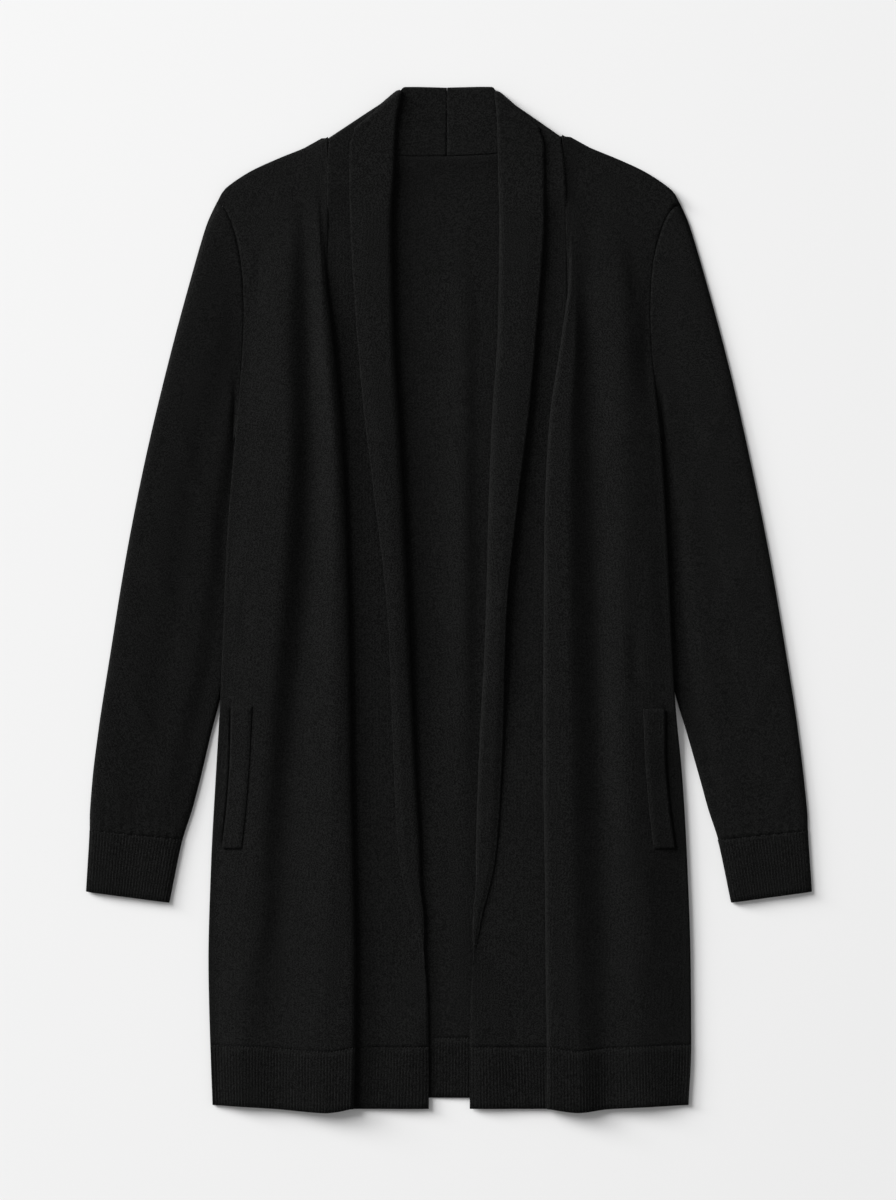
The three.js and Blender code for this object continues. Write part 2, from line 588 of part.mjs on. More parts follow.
// The side of the neck, where the strip is folded flat from the back to the front.
const NECK_FOLD = {
  [LEFT]: [109.2, 421.8, 44.5, 466.2, 87, 431],
  [RIGHT]: [100.8, 422.8, 42, 465.4, 82, 431.5],
};
const FRONT_NECK = {
  [LEFT]: [
    [111, 401, 49.5, 437, 91.5, 417],
    [111.1, 378, 51.5, 392, 92, 388],
  ],
  [RIGHT]: [
    [103.8, 401, 44.5, 437, 86.8, 417],
    [105.3, 378, 45.4, 392, 87, 388],
  ],
};
const BAND_COLUMNS = [
  'y', 'stand', 'inX', 'inZ', 'rollX', 'rollZ', 'outX', 'outZ', 'fallX', 'fallZ', 'freeX', 'freeZ',
];
const BAND_ROWS = {
  [LEFT]: [
    [345, 80, 57, 2.8, 53.5, 5.4, 57, 8.0, 75, 8.0, 91, 7.2],
    [253, 80, 55.5, 2.8, 51.7, 5.6, 55.5, 8.4, 71, 8.6, 85.5, 7.4],
    [175, 78, 51.5, 2.8, 47.4, 5.8, 51.5, 8.8, 65, 9.4, 78.7, 8.0],
    [92, 76, 47, 2.8, 42.8, 5.9, 47, 9.0, 57, 9.8, 68.5, 8.6],
    [-18, 74, 42, 3.0, 37.9, 6.0, 41.5, 9.0, 49, 9.8, 56.4, 8.8],
    [-144, 71, 36, 3.2, 32.3, 5.8, 35.5, 8.2, 43.5, 9.4, 50.5, 9.2],
    [-212, 68, 35, 3.6, 29.4, 5.4, 30.5, 7.6, 36, 9.2, 41.5, 9.6],
    [-263, 66, 37.5, 4.2, 29.5, 5.0, 26.2, 6.6, 26.5, 8.2, 29.5, 9.6],
    [-331, 66, 40, 4.6, 32, 4.8, 26, 5.0, 22.5, 5.4, 21, 6.2],
    [-411, 68, 44, 4.2, 35, 4.4, 28, 4.2, 23, 3.6, 19.3, 2.9],
    [-467.5, 70, 46, 3.6, 37, 3.8, 29, 3.6, 23.5, 3.2, 19.3, 2.7],
  ],
  [RIGHT]: [
    [345, 76, 50, 2.8, 46.5, 5.4, 50, 8.0, 70, 8.0, 86.8, 7.2],
    [253, 76, 49, 2.8, 45.3, 5.6, 49, 8.4, 65, 8.6, 80.3, 7.4],
    [175, 74, 44.5, 2.8, 40.3, 5.8, 44.5, 8.8, 59, 9.4, 73.4, 8.0],
    [92, 72, 41, 2.8, 36.8, 5.9, 41, 9.0, 51, 9.8, 63, 8.6],
    [-18, 70, 38, 3.0, 34, 6.0, 37.5, 9.0, 45, 9.8, 52, 8.8],
    [-144, 66, 31.5, 3.2, 27.8, 5.8, 31, 8.2, 39.5, 9.4, 47.5, 9.2],
    [-212, 64, 31, 3.6, 26.2, 5.4, 27.5, 7.6, 33.5, 9.2, 40, 9.6],
    [-263, 62, 33, 4.2, 26.5, 5.0, 23.8, 6.6, 24, 8.2, 27, 9.6],
    [-331, 63, 38, 4.6, 30, 4.8, 25, 5.0, 22.5, 5.4, 21.2, 6.2],
    [-411, 66, 42, 4.2, 34, 4.4, 27, 4.2, 22.5, 3.6, 18.9, 2.9],
    [-467.5, 68, 44, 3.6, 35, 3.8, 28, 3.6, 22.8, 3.2, 18.9, 2.7],
  ],
};
const STAND_LEVEL = 2.75;
const STAND_RISE = 0.15;
const FOLD_TURNS = [-90, -45, 0, 45, 90];

// One section of the folded collar. turn is the way from the stand to the fall, as a tilt
// out of the floor: -90 with the fall beneath, 0 at the fold's edge, 90 with it on top.
function neckKnots(r, tilt) {
  const radians = (tilt * Math.PI) / 180;
  const [dx, dy] = [r.seamX - r.rollX, r.seamY - r.rollY];
  const long = Math.hypot(dx, dy);
  const outwards = tilt === -90 || tilt === 90 ? [0, 0] : [-dy / long, dx / long];
  const turn = [outwards[0] * Math.cos(radians), outwards[1] * Math.cos(radians), Math.sin(radians)];
  const knot = (toward, share, layer, slack = 0) => {
    const out = NECK_RADIUS + (layer * NECK_ROLL) / 2;
    const away = share === 0 ? slack / Math.hypot(toward[0] - r.rollX, toward[1] - r.rollY) : share;
    const x = lerp(r.rollX, toward[0], away);
    const y = lerp(r.rollY, toward[1], away);
    return [x + turn[0] * out, y + turn[1] * out, NECK_CENTRE_Z + turn[2] * out];
  };
  const seam = [r.seamX, r.seamY];
  const free = [r.freeX, r.freeY];
  const roll = NECK_ROLL / 2;
  return [
    knot(seam, 1, -1),
    knot(seam, 0.5, -1),
    knot(seam, 0, -1, roll + ROLL_SLACK),
    knot(seam, 0, 0, 0),
    knot(free, 0, 1, roll + ROLL_SLACK),
    knot(free, 0.5, 1),
    knot(free, 1, 1),
  ];
}

function bandKnots(side, r) {
  const frontRow = alongAt(frontSkins[side], 0, r.y, 0, HEM_END_ROW);
  const seam = Math.abs(frontSkins[side](0, frontRow)[0]) - BAND_SEAM_GAP;
  const sections = [
    [seam, STAND_LEVEL],
    [r.stand, STAND_LEVEL + STAND_RISE],
    [r.inX, r.inZ],
    [r.rollX, r.rollZ],
    [r.outX, r.outZ],
    [r.fallX, r.fallZ],
    [r.freeX, r.freeZ],
  ];
  return sections.map(([x, z]) => [x, r.y, z]);
}

const bandSkins = {};
for (const side of [LEFT, RIGHT]) {
  const neck = (row, tilt) => neckKnots(named(NECK_COLUMNS, row), tilt);
  const rows = [
    ...BACK_NECK[side].map((row) => neck(row, -90)),
    ...FOLD_TURNS.map((tilt) => neck(NECK_FOLD[side], tilt)),
    ...FRONT_NECK[side].map((row) => neck(row, 90)),
    ...BAND_ROWS[side].map((row) => bandKnots(side, named(BAND_COLUMNS, row))),
  ];
  bandSkins[side] = skinThrough(rows.map((row) => row.map(([x, y, z]) => [side * x, y, z])));
}

const NECK_SECTIONS = BACK_NECK[LEFT].length + FOLD_TURNS.length + FRONT_NECK[LEFT].length;
const BAND_END_ROW = NECK_SECTIONS + BAND_ROWS[LEFT].length - 1;
const BAND_HEM_ROW = BAND_END_ROW - 1;

function band(side) {
  const skin = bandSkins[side];
  const end = BAND_HEM_ROW - seamOff(skin, 3, BAND_HEM_ROW);
  const neck = [0, 1, 2, 3, ...steps(4, 8, 8), 9, 9.5, 10, 11];
  const along = [...neck, 12, 13, 14, 15, 15.5, 16, 16.5, 17, 17.5, 18, 18.5, 19, end];
  const across = [0, 0.5, 1, 1.5, 2, 2.35, 2.7, 3, 3.3, 3.65, 4, 4.5, 5, 5.5, 6];
  const face = side === LEFT ? -1 : 1;
  return wall(`band_${sideName(side)}`, skin, { across, along, thick: BAND_WALL, face, colour: JERSEY });
}

function bandHem(side) {
  return ribbed(`hem_band_${sideName(side)}`, bandSkins[side], {
    from: 1,
    to: 6,
    start: BAND_HEM_ROW,
    end: BAND_END_ROW,
    plain: [0, 0.5],
    face: side === LEFT ? -1 : 1,
  });
}

// The welt of a slanted hip pocket: a strip made from the front's own points, moved out.
// Its outer long edge is the mouth. Rows of y, outer x and inner x, from the middle.
const WELT_ROWS = {
  [LEFT]: [
    [-97.5, 199.5, 180.8],
    [-141, 200.4, 182.8],
    [-184, 203, 185.8],
    [-228, 208.2, 190.6],
  ],
  [RIGHT]: [
    [-100, 197.2, 177.5],
    [-141, 197.4, 179.2],
    [-184, 200.6, 182.3],
    [-228, 206.6, 187.2],
  ],
};
const WELT_GAP = 0.4;

function welt(side) {
  const base = frontSkins[side];
  const face = side === LEFT ? 1 : -1;
  const [ys, outer, inner] = [0, 1, 2].map((c) => curveThrough(WELT_ROWS[side].map((row) => row[c])));
  const lift = BODY_WALL / 2 + WELT_GAP + WELT_WALL / 2;
  const skin = (across, along) => {
    const row = alongAt(base, 9, ys(along), 5, 9);
    const u = acrossAt(base, row, lerp(inner(along), outer(along), across), 8, 9.9);
    const n = normalOf(base, u, row).multiplyScalar(face * lift);
    const p = base(u, row);
    return [p[0] + n.x, p[1] + n.y, p[2] + n.z];
  };
  const sizes = { across: steps(0, 1, 4), along: steps(0, 3, 12), thick: WELT_WALL, face, colour: JERSEY };
  return wall(`pocket_welt_${sideName(side)}`, skin, sizes);
}

const group = new THREE.Group();
group.add(back(), backHem());
for (const side of [LEFT, RIGHT]) {
  group.add(front(side), frontHem(side), welt(side));
  group.add(sleeve(side), cuff(side));
  group.add(band(side), bandHem(side));
}

export default group;
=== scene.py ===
# %% [markdown]
# A duster cardigan, laid flat on its back. It is a long open-front knitted coat of black
# jersey: a back, two fronts, two sleeves, and a shawl collar that runs on down each front
# as a band. Fine ribbing finishes the hem and the cuffs, and a slanted welt covers each
# hip pocket. Every piece here is a thin wall of cloth, worked out with numpy from short
# tables of sizes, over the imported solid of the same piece.

import bpy
import numpy as np
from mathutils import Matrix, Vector


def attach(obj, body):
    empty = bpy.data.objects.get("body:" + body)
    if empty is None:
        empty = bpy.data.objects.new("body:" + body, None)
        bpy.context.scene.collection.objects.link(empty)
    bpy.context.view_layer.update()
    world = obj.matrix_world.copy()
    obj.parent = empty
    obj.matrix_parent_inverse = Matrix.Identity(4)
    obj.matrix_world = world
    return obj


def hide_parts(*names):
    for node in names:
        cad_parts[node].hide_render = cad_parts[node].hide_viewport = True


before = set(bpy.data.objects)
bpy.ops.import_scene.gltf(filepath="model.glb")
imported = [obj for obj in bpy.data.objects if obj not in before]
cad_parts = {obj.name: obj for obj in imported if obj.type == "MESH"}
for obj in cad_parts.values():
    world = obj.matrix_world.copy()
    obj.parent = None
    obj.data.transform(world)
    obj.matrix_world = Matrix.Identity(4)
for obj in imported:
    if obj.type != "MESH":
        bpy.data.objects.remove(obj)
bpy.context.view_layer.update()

MM = 0.001
LEFT, RIGHT = -1, 1
SIDE_NAME = {LEFT: "left", RIGHT: "right"}
print("frame:", len(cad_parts), "pieces")

# %% [markdown]
# Folds in cloth are smooth but never swell past their crests. A cubic curve through the
# sizes in a table does that if it is level at each crest and dip. It could be a Blender
# curve object, but arrays let a whole panel be worked out in one go.

# %% Smooth curves and smooth skins through tables
FINE_PLACES = 1200


def smoothstep(low, high, t):
    """0 below low, 1 above high, and between them three times the square less twice the cube."""
    s = np.clip((np.asarray(t, float) - low) / (high - low), 0, 1)
    return s * s * (3 - 2 * s)


def curve_through(values, at, loop=False):
    """The values at 0, 1, 2 and so on, joined by cubics.

    The slope at a value is twice the product of the rises beside it over their sum, and
    level where the rises differ in sign. values may hold points or rows of points.
    """
    values = np.asarray(values, float)
    at = np.asarray(at, float)
    count = len(values)
    if loop:
        after = np.roll(values, -1, 0) - values
        before = np.roll(after, 1, 0)
    else:
        rise = np.diff(values, axis=0)
        before = np.concatenate([rise[:1], rise])
        after = np.concatenate([rise, rise[-1:]])
    product = before * after
    total = np.where(product > 0, before + after, 1)
    slope = np.where(product > 0, 2 * product / total, 0)
    start = np.floor(at).astype(int)
    if not loop:
        start = np.clip(start, 0, count - 2)
    s = (at - start).reshape(-1, *[1] * (values.ndim - 1))
    i, j = start % count, (start + 1) % count
    level = values[i] + (values[j] - values[i]) * s * s * (3 - 2 * s)
    return level + s * (1 - s) ** 2 * slope[i] - s * s * (1 - s) * slope[j]


def skin(knots, across, along, loop=False):
    """The middle surface of a cloth: curves down each column of knots, then across each row."""
    rows = curve_through(knots, along)
    return curve_through(rows.transpose(1, 0, 2), across, loop).transpose(1, 0, 2)


def even_steps(line_of, start, end, step):
    """Places from start to end whose points, line_of(places), lie about step apart."""
    fine = np.linspace(start, end, FINE_PLACES)
    steps = np.linalg.norm(np.diff(line_of(fine), axis=0), axis=1)
    length = np.concatenate([[0], np.cumsum(steps)])
    count = max(2, int(round(length[-1] / step)))
    return np.interp(np.linspace(0, length[-1], count + 1), length, fine)


def even_across(knots, row, start, end, step, loop=False):
    """Places from start to end across a skin, about step apart along one of its rows."""
    return even_steps(lambda t: skin(knots, t, [row], loop)[0], start, end, step)


def even_along(knots, column, start, end, step, loop=False):
    """Places from start to end down a skin, about step apart along one of its columns."""
    return even_steps(lambda t: skin(knots, [column], t, loop)[:, 0], start, end, step)


print("a quarter of the way up a step of 1:", float(curve_through([0, 1], [0.25])[0]))

# %% [markdown]
# A cloth has two faces and a turned or rolled edge. Solidify could thicken a sheet, but
# its edges are square. Here the sheet's points are moved half the thickness along their
# normals both ways, and a line of points just outside the edge rounds it off.

# %% Normals, lengths along the cloth, and the line just outside its edge
NO_ZERO = 1e-12


def normals_of(grid, loop=False):
    """Unit normals: the step along the rows crossed with the step down the columns."""
    if loop:
        along_row = np.roll(grid, -1, 1) - np.roll(grid, 1, 1)
    else:
        along_row = np.gradient(grid, axis=1)
    normal = np.cross(along_row, np.gradient(grid, axis=0))
    return normal / np.maximum(np.linalg.norm(normal, axis=2, keepdims=True), NO_ZERO)


def lengths(grid, axis):
    """Distances from the first row or column, added up along the cloth."""
    step = np.linalg.norm(np.diff(grid, axis=axis), axis=2)
    start = np.zeros_like(np.take(step, [0], axis=axis))
    return np.concatenate([start, np.cumsum(step, axis=axis)], axis=axis)


def rimmed(inner, reach, loop):
    """The grid with one more line all round it, moved outwards by reach, for the rounded edge."""
    def beyond(edge, inside):
        way = edge - inside
        return edge + reach * way / np.maximum(np.linalg.norm(way, axis=-1, keepdims=True), NO_ZERO)

    grid = np.concatenate([beyond(inner[:1], inner[1:2]), inner, beyond(inner[-1:], inner[-2:-1])])
    if loop:
        return grid
    left = beyond(grid[:, :1], grid[:, 1:2])
    right = beyond(grid[:, -1:], grid[:, -2:-1])
    return np.concatenate([left, grid, right], axis=1)


print("normal of a level sheet:", normals_of(np.mgrid[0:2, 0:2, 0:1][:, :, :, 0].T * 1.0)[0, 0])

# %% [markdown]
# Each wall is one closed mesh. It carries its own map in metres along its rows and down its
# columns, so the knit runs with the cloth. A box projection would be quicker, but it would
# run straight across every fold.

# %% A mesh that faces outwards, with its own map
def mesh_object(name, points, quads, uvs, material):
    """A smooth mesh whose faces point outwards, with its own UV map in metres of cloth."""
    corner = points[quads]
    volume = np.einsum("ij,ij->", corner[:, 0], np.cross(corner[:, 1], corner[:, 2]))
    volume += np.einsum("ij,ij->", corner[:, 0], np.cross(corner[:, 2], corner[:, 3]))
    if volume < 0:
        quads, uvs = quads[:, ::-1], uvs[:, ::-1]
    mesh = bpy.data.meshes.new(name)
    mesh.from_pydata(points.tolist(), [], quads.tolist())
    mesh.polygons.foreach_set("use_smooth", np.ones(len(quads), bool))
    layer = mesh.uv_layers.new(name="cloth")
    layer.uv.foreach_set("vector", np.ascontiguousarray(uvs, float).ravel())
    mesh.update()
    piece = bpy.data.objects.new(name, mesh)
    bpy.context.scene.collection.objects.link(piece)
    piece.data.materials.append(material)
    return piece


print("cloth maps are in metres:", MM, "for each millimetre")

# %% [markdown]
# The wall is made of two grids, one for each face, and a third for the rim. Faces join the
# grids with the rim all round, or at both ends of a tube. Every piece is kept by name, and
# its widest row and longest column are printed, because those are the sizes it is cut to.

# %% A closed wall of cloth, and its size as cut
PIECES = {}


def cloth_wall(name, grid, thick, face, material, loop=False, raised=0.0, rim=0.45):
    """Outer face: grid + normal x (thick / 2 + raised). Inner face: grid - normal x thick / 2.

    grid is in millimetres; thick and raised may be arrays as large as the grid. rim times half
    the least thickness is how far the edge's middle line stands out.
    """
    thick = np.broadcast_to(np.asarray(thick, float), grid.shape[:2])[..., None]
    normal = face * normals_of(grid, loop)
    lift = np.broadcast_to(np.asarray(raised, float), grid.shape[:2])[..., None]
    outer = grid + normal * (thick / 2 + lift)
    inner = grid - normal * thick / 2
    rows, columns = grid.shape[:2]
    edge = rimmed(grid, rim * thick.min() / 2, loop)
    u = lengths(grid, 1)
    v = lengths(grid, 0)
    if loop:
        around = u[:, -1:] + np.linalg.norm(grid[:, :1] - grid[:, -1:], axis=2)
        u = np.concatenate([u, around], axis=1)
        v = np.concatenate([v, v[:, :1]], axis=1)
    pad = ((1, 1), (0, 0)) if loop else ((1, 1), (1, 1))
    uv = np.stack([np.pad(u, pad, mode="edge"), np.pad(v, pad, mode="edge")], axis=2) * MM
    count = rows * columns
    first = np.arange(count).reshape(rows, columns)
    second = first + count
    border = np.arange(edge.shape[0] * edge.shape[1]).reshape(edge.shape[:2]) + 2 * count

    def extended(core):
        full = border.copy()
        if loop:
            full[1:-1] = core
            return np.concatenate([full, full[:, :1]], axis=1)
        full[1:-1, 1:-1] = core
        return full

    quads, corner_uvs = [], []
    for core, order in ((first, 1), (second, -1)):
        index = extended(core)
        ring = [index[:-1, :-1], index[1:, :-1], index[1:, 1:], index[:-1, 1:]][::order]
        ring_uv = [uv[:-1, :-1], uv[1:, :-1], uv[1:, 1:], uv[:-1, 1:]][::order]
        quads.append(np.stack(ring, axis=2).reshape(-1, 4))
        corner_uvs.append(np.stack(ring_uv, axis=2).reshape(-1, 4, 2))
    quads = np.concatenate(quads)
    points = np.concatenate([outer.reshape(-1, 3), inner.reshape(-1, 3), edge.reshape(-1, 3)]) * MM
    used, renumbered = np.unique(quads, return_inverse=True)
    quads, points = renumbered.reshape(-1, 4), points[used]
    PIECES[name] = mesh_object(name, points, quads, np.concatenate(corner_uvs), material)


def report(name, grid, loop=False):
    """Prints a piece's widest row, its longest column and its area, as cut, in metres."""
    wide, long = lengths(grid, 1)[:, -1], lengths(grid, 0)[-1]
    if loop:
        wide = wide + np.linalg.norm(grid[:, 0] - grid[:, -1], axis=1)
    closed = np.concatenate([grid, grid[:, :1]], axis=1) if loop else grid
    a, b = closed[1:, 1:] - closed[:-1, :-1], closed[1:, :-1] - closed[:-1, 1:]
    area = np.linalg.norm(np.cross(a, b), axis=2).sum() / 2
    print(f"{name}: {wide.max() / 1000:.3f} x {long.max() / 1000:.3f} m, {area / 1e6:.4f} m2")


# %% [markdown]
# The garment's sizes, in millimetres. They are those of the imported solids, but for the
# seams: the solids stand a little apart there, and sewn cloth is closed. A band's seam even
# overlaps a little, as its edge is linked on top of the front's.

# %% Walls, levels and seams
BODY_WALL = 1.4
BAND_WALL = 1.6
SLEEVE_WALL = 1.3
RIB_WALL = 1.2
WELT_WALL = 1.3
LAYER_GAP = 0.5
BACK_LEVEL = BODY_WALL / 2
FRONT_LEVEL = BODY_WALL + LAYER_GAP + BODY_WALL / 2
SEAM_GAP = 0.1
ARMHOLE_GAP = 0.0
BAND_SEAM_GAP = -0.2
print("the fronts lie at", FRONT_LEVEL, "and the back at", BACK_LEVEL)

# %% [markdown]
# Each armhole is one bowed line from the shoulder to the underarm. The front, the back and
# the sleeve are all fitted to it, so that the three meet in one seam. A Bezier curve could
# draw it, but a sine needs one size a side and can be read off the photograph.

# %% The armhole's line
SHOULDER = {LEFT: (213, 366), RIGHT: (211, 365)}
UNDERARM = {LEFT: (196.5, 150), RIGHT: (193.7, 150)}
ARMHOLE_BOW = {LEFT: 17.5, RIGHT: 20}
BOW_POWER = 0.62
ARMHOLE_PROBE = 0.02


def armhole(side, share, outward=0.0):
    """A point of the armhole, from the shoulder at share 0 to the underarm at share 1.

    The straight line between them, less bow x sin(pi x share to the power BOW_POWER) in x,
    moved outward across the curve.
    """
    share = np.asarray(share, float)

    def place(t):
        bow = ARMHOLE_BOW[side] * np.sin(np.pi * np.clip(t, 0, 1) ** BOW_POWER)
        ends = np.array([SHOULDER[side], UNDERARM[side]], float)
        line = ends[0] + (ends[1] - ends[0]) * t[..., None]
        return np.stack([line[..., 0] - bow, line[..., 1]], axis=-1)

    near = np.clip(share, ARMHOLE_PROBE, 1 - ARMHOLE_PROBE)
    way = place(near + ARMHOLE_PROBE) - place(near - ARMHOLE_PROBE)
    way = way / np.linalg.norm(way, axis=-1, keepdims=True)
    return place(share) + outward * np.stack([-way[..., 1], way[..., 0]], axis=-1)


print("left armhole, halfway down:", armhole(LEFT, 0.5))

# %% [markdown]
# Each table has a row for each level down the cloth. Every x is a distance from the middle,
# so that left and right share their columns. The fronts are pleated beside their bands:
# from the seam the cloth goes back under itself to the fold, turns there, and goes out over
# crest C, dip B and crest A to the side. The places come from the photograph.

# %% The fronts, row by row
ARMHOLE_ROWS = [0, 0.2, 0.41, 0.67, 1]
LIFTED_ROWS = (4, 5, 6)
HEM_SEAM_ROW = 10
HEM_END_ROW = 11
HEM_WAVE = {"cX": -3.5, "bX": -1.5, "aX": -0.5}
FRONT_COLUMNS = (
    "ySeam", "ySide", "seam", "fold", "cX", "bX", "aX", "side", "pleat", "cZ", "bZ", "aZ",
)
FRONT_ROWS = {
    LEFT: [
        (425, 366, 111.8, 111, 137, 160, 186, 213, 0.0, 2.8, 2.8, 2.8),
        (368, 323, 111.8, 111, 122, 134, 148, 192, 0.0, 4.2, 3.2, 4.4),
        (304, 277, 111.8, 111, 118.5, 132.5, 149.5, 190, 0.5, 7.0, 3.4, 7.6),
        (239, 221, 111.8, 107, 114, 130.5, 151, 191, 1.0, 8.8, 3.4, 9.4),
        (156, 150, 111.8, 99.5, 107, 129, 149, 196.5, 1.0, 9.6, 3.6, 11.0),
        (55, 55, 111.5, 94.5, 104.5, 131, 153.5, 204, 1.0, 9.6, 3.6, 11.4),
        (-92, -92, 111.5, 91, 105, 141, 166, 210.2, 1.0, 9.6, 4.2, 10.4),
        (-166, -166, 112, 90, 105.5, 147, 171, 214.8, 1.0, 9.4, 4.4, 9.6),
        (-248, -248, 112.5, 88, 107, 151, 177, 219.1, 1.0, 9.2, 4.6, 8.6),
        (-331, -331, 113.5, 86.5, 110, 156, 184, 221.3, 1.0, 8.8, 4.8, 7.4),
        (-411, -409, 114.5, 87, 113, 160, 190, 219.6, 1.0, 8.2, 5.2, 6.4),
        (-467, -464, 116.5, 88.5, 114, 161, 190, 217.6, 1.0, 7.8, 5.2, 6.0),
    ],
    RIGHT: [
        (427, 365, 103.5, 103, 132, 156, 182, 211, 0.0, 2.8, 2.8, 2.8),
        (368, 322, 106.5, 106, 116, 131, 154, 190.5, 0.0, 3.6, 3.2, 4.0),
        (304, 277, 108, 107.2, 115.5, 128, 158, 186.5, 0.4, 5.0, 3.4, 7.0),
        (239, 221, 108.4, 103, 114, 127, 160, 185.5, 1.0, 7.6, 3.6, 8.8),
        (156, 150, 107.5, 91.5, 109, 129, 162, 193.7, 1.0, 9.0, 3.8, 9.8),
        (55, 55, 108.5, 87.5, 108, 132, 163, 199.5, 1.0, 9.4, 3.6, 10.6),
        (-92, -92, 110.9, 86.7, 109, 136, 163, 206.8, 1.0, 9.4, 3.8, 10.4),
        (-166, -166, 111, 86.7, 110, 138, 165, 213.9, 1.0, 9.4, 4.0, 10.0),
        (-248, -248, 111, 88, 111, 141, 170, 218.5, 1.0, 9.2, 4.4, 9.4),
        (-331, -331, 111, 88.8, 113, 143, 174, 221.3, 1.0, 9.0, 4.8, 8.4),
        (-411, -409, 111, 89.7, 117, 145, 176, 221.9, 1.0, 8.4, 5.2, 7.2),
        (-467, -464, 111, 89.7, 118, 146, 178, 219.4, 1.0, 8.0, 5.2, 6.8),
    ],
}


def named(columns, row):
    """A row of a table as a dictionary, by the names of its columns."""
    return dict(zip(columns, row))


lowest = named(FRONT_COLUMNS, FRONT_ROWS[LEFT][HEM_SEAM_ROW])
print("the left pleat at the hem's seam is", lowest["seam"] - lowest["fold"], "mm deep")

# %% [markdown]
# A row becomes eleven knots: six round the pleat, three for the long folds and two at the
# side. Where there is no pleat yet, at the shoulder, the six lie close together along the
# cloth, so that the pleat can open gradually below it. The shoulder line is convex, the
# neck's edge is raised to meet the collar's, and the side climbs onto the sleeve.

# %% From a row to its knots
UNDER_LEVEL = 4.75
TURN = 2.3
SEAM_TURN = (2.2, 1.2)
SEAM_EDGE_LEVEL = 0.1
PLEAT_KNOTS = 6
PLAIN_STEP = 1.3
CREST_LIFT = 1.7
NECK_EDGE_LEVELS = {0: 5.2, 1: 4.0}
NECK_FALL = 0.35
SHOULDER_BOW = 31.4
SHOULDER_POWER = 1.5
ARMHOLE_RISE = 0.7
ARMHOLE_LIFT = 2.65
BACK_EDGE_LIFT = 3.4
SIDE_LIFT = {LEFT: 0, RIGHT: 1.2}
FRONT_SIDE_FLAT = 5


def row_y(r, index, x, key=None):
    """How far up a place x lies in its row, between the seam's end of the row and the side's.

    The shoulder adds bow x share to the power SHOULDER_POWER x the root of (1 - share).
    """
    share = np.clip((x - r["seam"]) / (r["side"] - r["seam"]), 0, 1)
    wave = HEM_WAVE.get(key, 0) if index >= HEM_SEAM_ROW else 0
    bow = SHOULDER_BOW * share**SHOULDER_POWER * np.sqrt(1 - share) if index == 0 else 0
    return r["ySeam"] + (r["ySide"] - r["ySeam"]) * share + wave + bow


def front_knots(side, index, r):
    """One row of a front: six knots round the pleat, then C, B, A and two at the side."""
    start = NECK_EDGE_LEVELS.get(index, FRONT_LEVEL + SEAM_EDGE_LEVEL)
    top = UNDER_LEVEL + 2 * TURN
    pleated = [
        (r["seam"], start),
        (r["seam"] + SEAM_TURN[0], (start + UNDER_LEVEL) / 2),
        (r["seam"] + SEAM_TURN[1], UNDER_LEVEL),
        (r["fold"] + TURN, UNDER_LEVEL),
        (r["fold"], UNDER_LEVEL + TURN),
        (r["fold"] + TURN, top),
    ]
    fall = NECK_FALL if index in NECK_EDGE_LEVELS else 1
    plain = [
        (r["seam"] + PLAIN_STEP * k, start + (FRONT_LEVEL - start) * fall * k / (PLEAT_KNOTS - 1))
        for k in range(PLEAT_KNOTS)
    ]
    edge = [
        (a + (b - a) * r["pleat"], c + (d - c) * r["pleat"])
        for (a, c), (b, d) in zip(plain, pleated)
    ]
    over_sleeve = FRONT_LEVEL + ARMHOLE_RISE
    side_z = FRONT_LEVEL
    if index < LIFTED_ROWS[0]:
        side_z = over_sleeve
    elif index in LIFTED_ROWS:
        side_z = over_sleeve + ARMHOLE_LIFT + SIDE_LIFT[side]
    knots = [(x, row_y(r, index, x), z) for x, z in edge]
    lifts = {"cX": CREST_LIFT * (r["pleat"] == 1), "bX": 0, "aX": 0}
    for key, lift in lifts.items():
        knots.append((r[key], row_y(r, index, r[key], key), r[key[0] + "Z"] + lift))
    knots += [(x, row_y(r, index, x), side_z) for x in (r["side"] - FRONT_SIDE_FLAT, r["side"])]
    return [(side * x, y, z) for x, y, z in knots]


FRONT_KNOTS = {}
for side, rows in FRONT_ROWS.items():
    knots = [front_knots(side, i, named(FRONT_COLUMNS, row)) for i, row in enumerate(rows)]
    FRONT_KNOTS[side] = np.array(knots, float)
print("knots of a front:", FRONT_KNOTS[LEFT].shape)

# %% [markdown]
# A skin's edge only comes near the armhole's line between its rows, so the last knots'
# width of cloth is moved onto it. Panels also stop half a seam short of the ribbing.

# %% Fitting a panel to the armhole and to its hem
FITTED_KNOTS = 1.5
SEAM_PROBE = 0.05


def fit_armhole(side, grid, across, along, edge_knot):
    """Moves the rows beside the armhole so that their last point lies on its curve."""
    near = smoothstep(edge_knot - FITTED_KNOTS, edge_knot, across)[None, :, None]
    beside = np.asarray(along) <= len(ARMHOLE_ROWS) - 1
    shares = curve_through(ARMHOLE_ROWS, np.asarray(along)[beside])
    target = armhole(side, shares, -ARMHOLE_GAP / 2)
    edge = grid[beside][:, -1:, :2]
    move = target[:, None, :] * np.array([side, 1]) - edge
    fitted = grid.copy()
    fitted[beside, :, :2] += near * move
    return fitted


def seam_rows(knots, row, column):
    """How many rows make half a seam gap, at a row and column of a skin."""
    a, b = skin(knots, [column], [row - SEAM_PROBE, row + SEAM_PROBE])[:, 0]
    return SEAM_GAP / 2 * (2 * SEAM_PROBE) / np.linalg.norm(b - a)


half_seam = seam_rows(FRONT_KNOTS[LEFT], HEM_SEAM_ROW, 7)
print("half a seam gap at the left hem:", round(half_seam, 5), "rows")

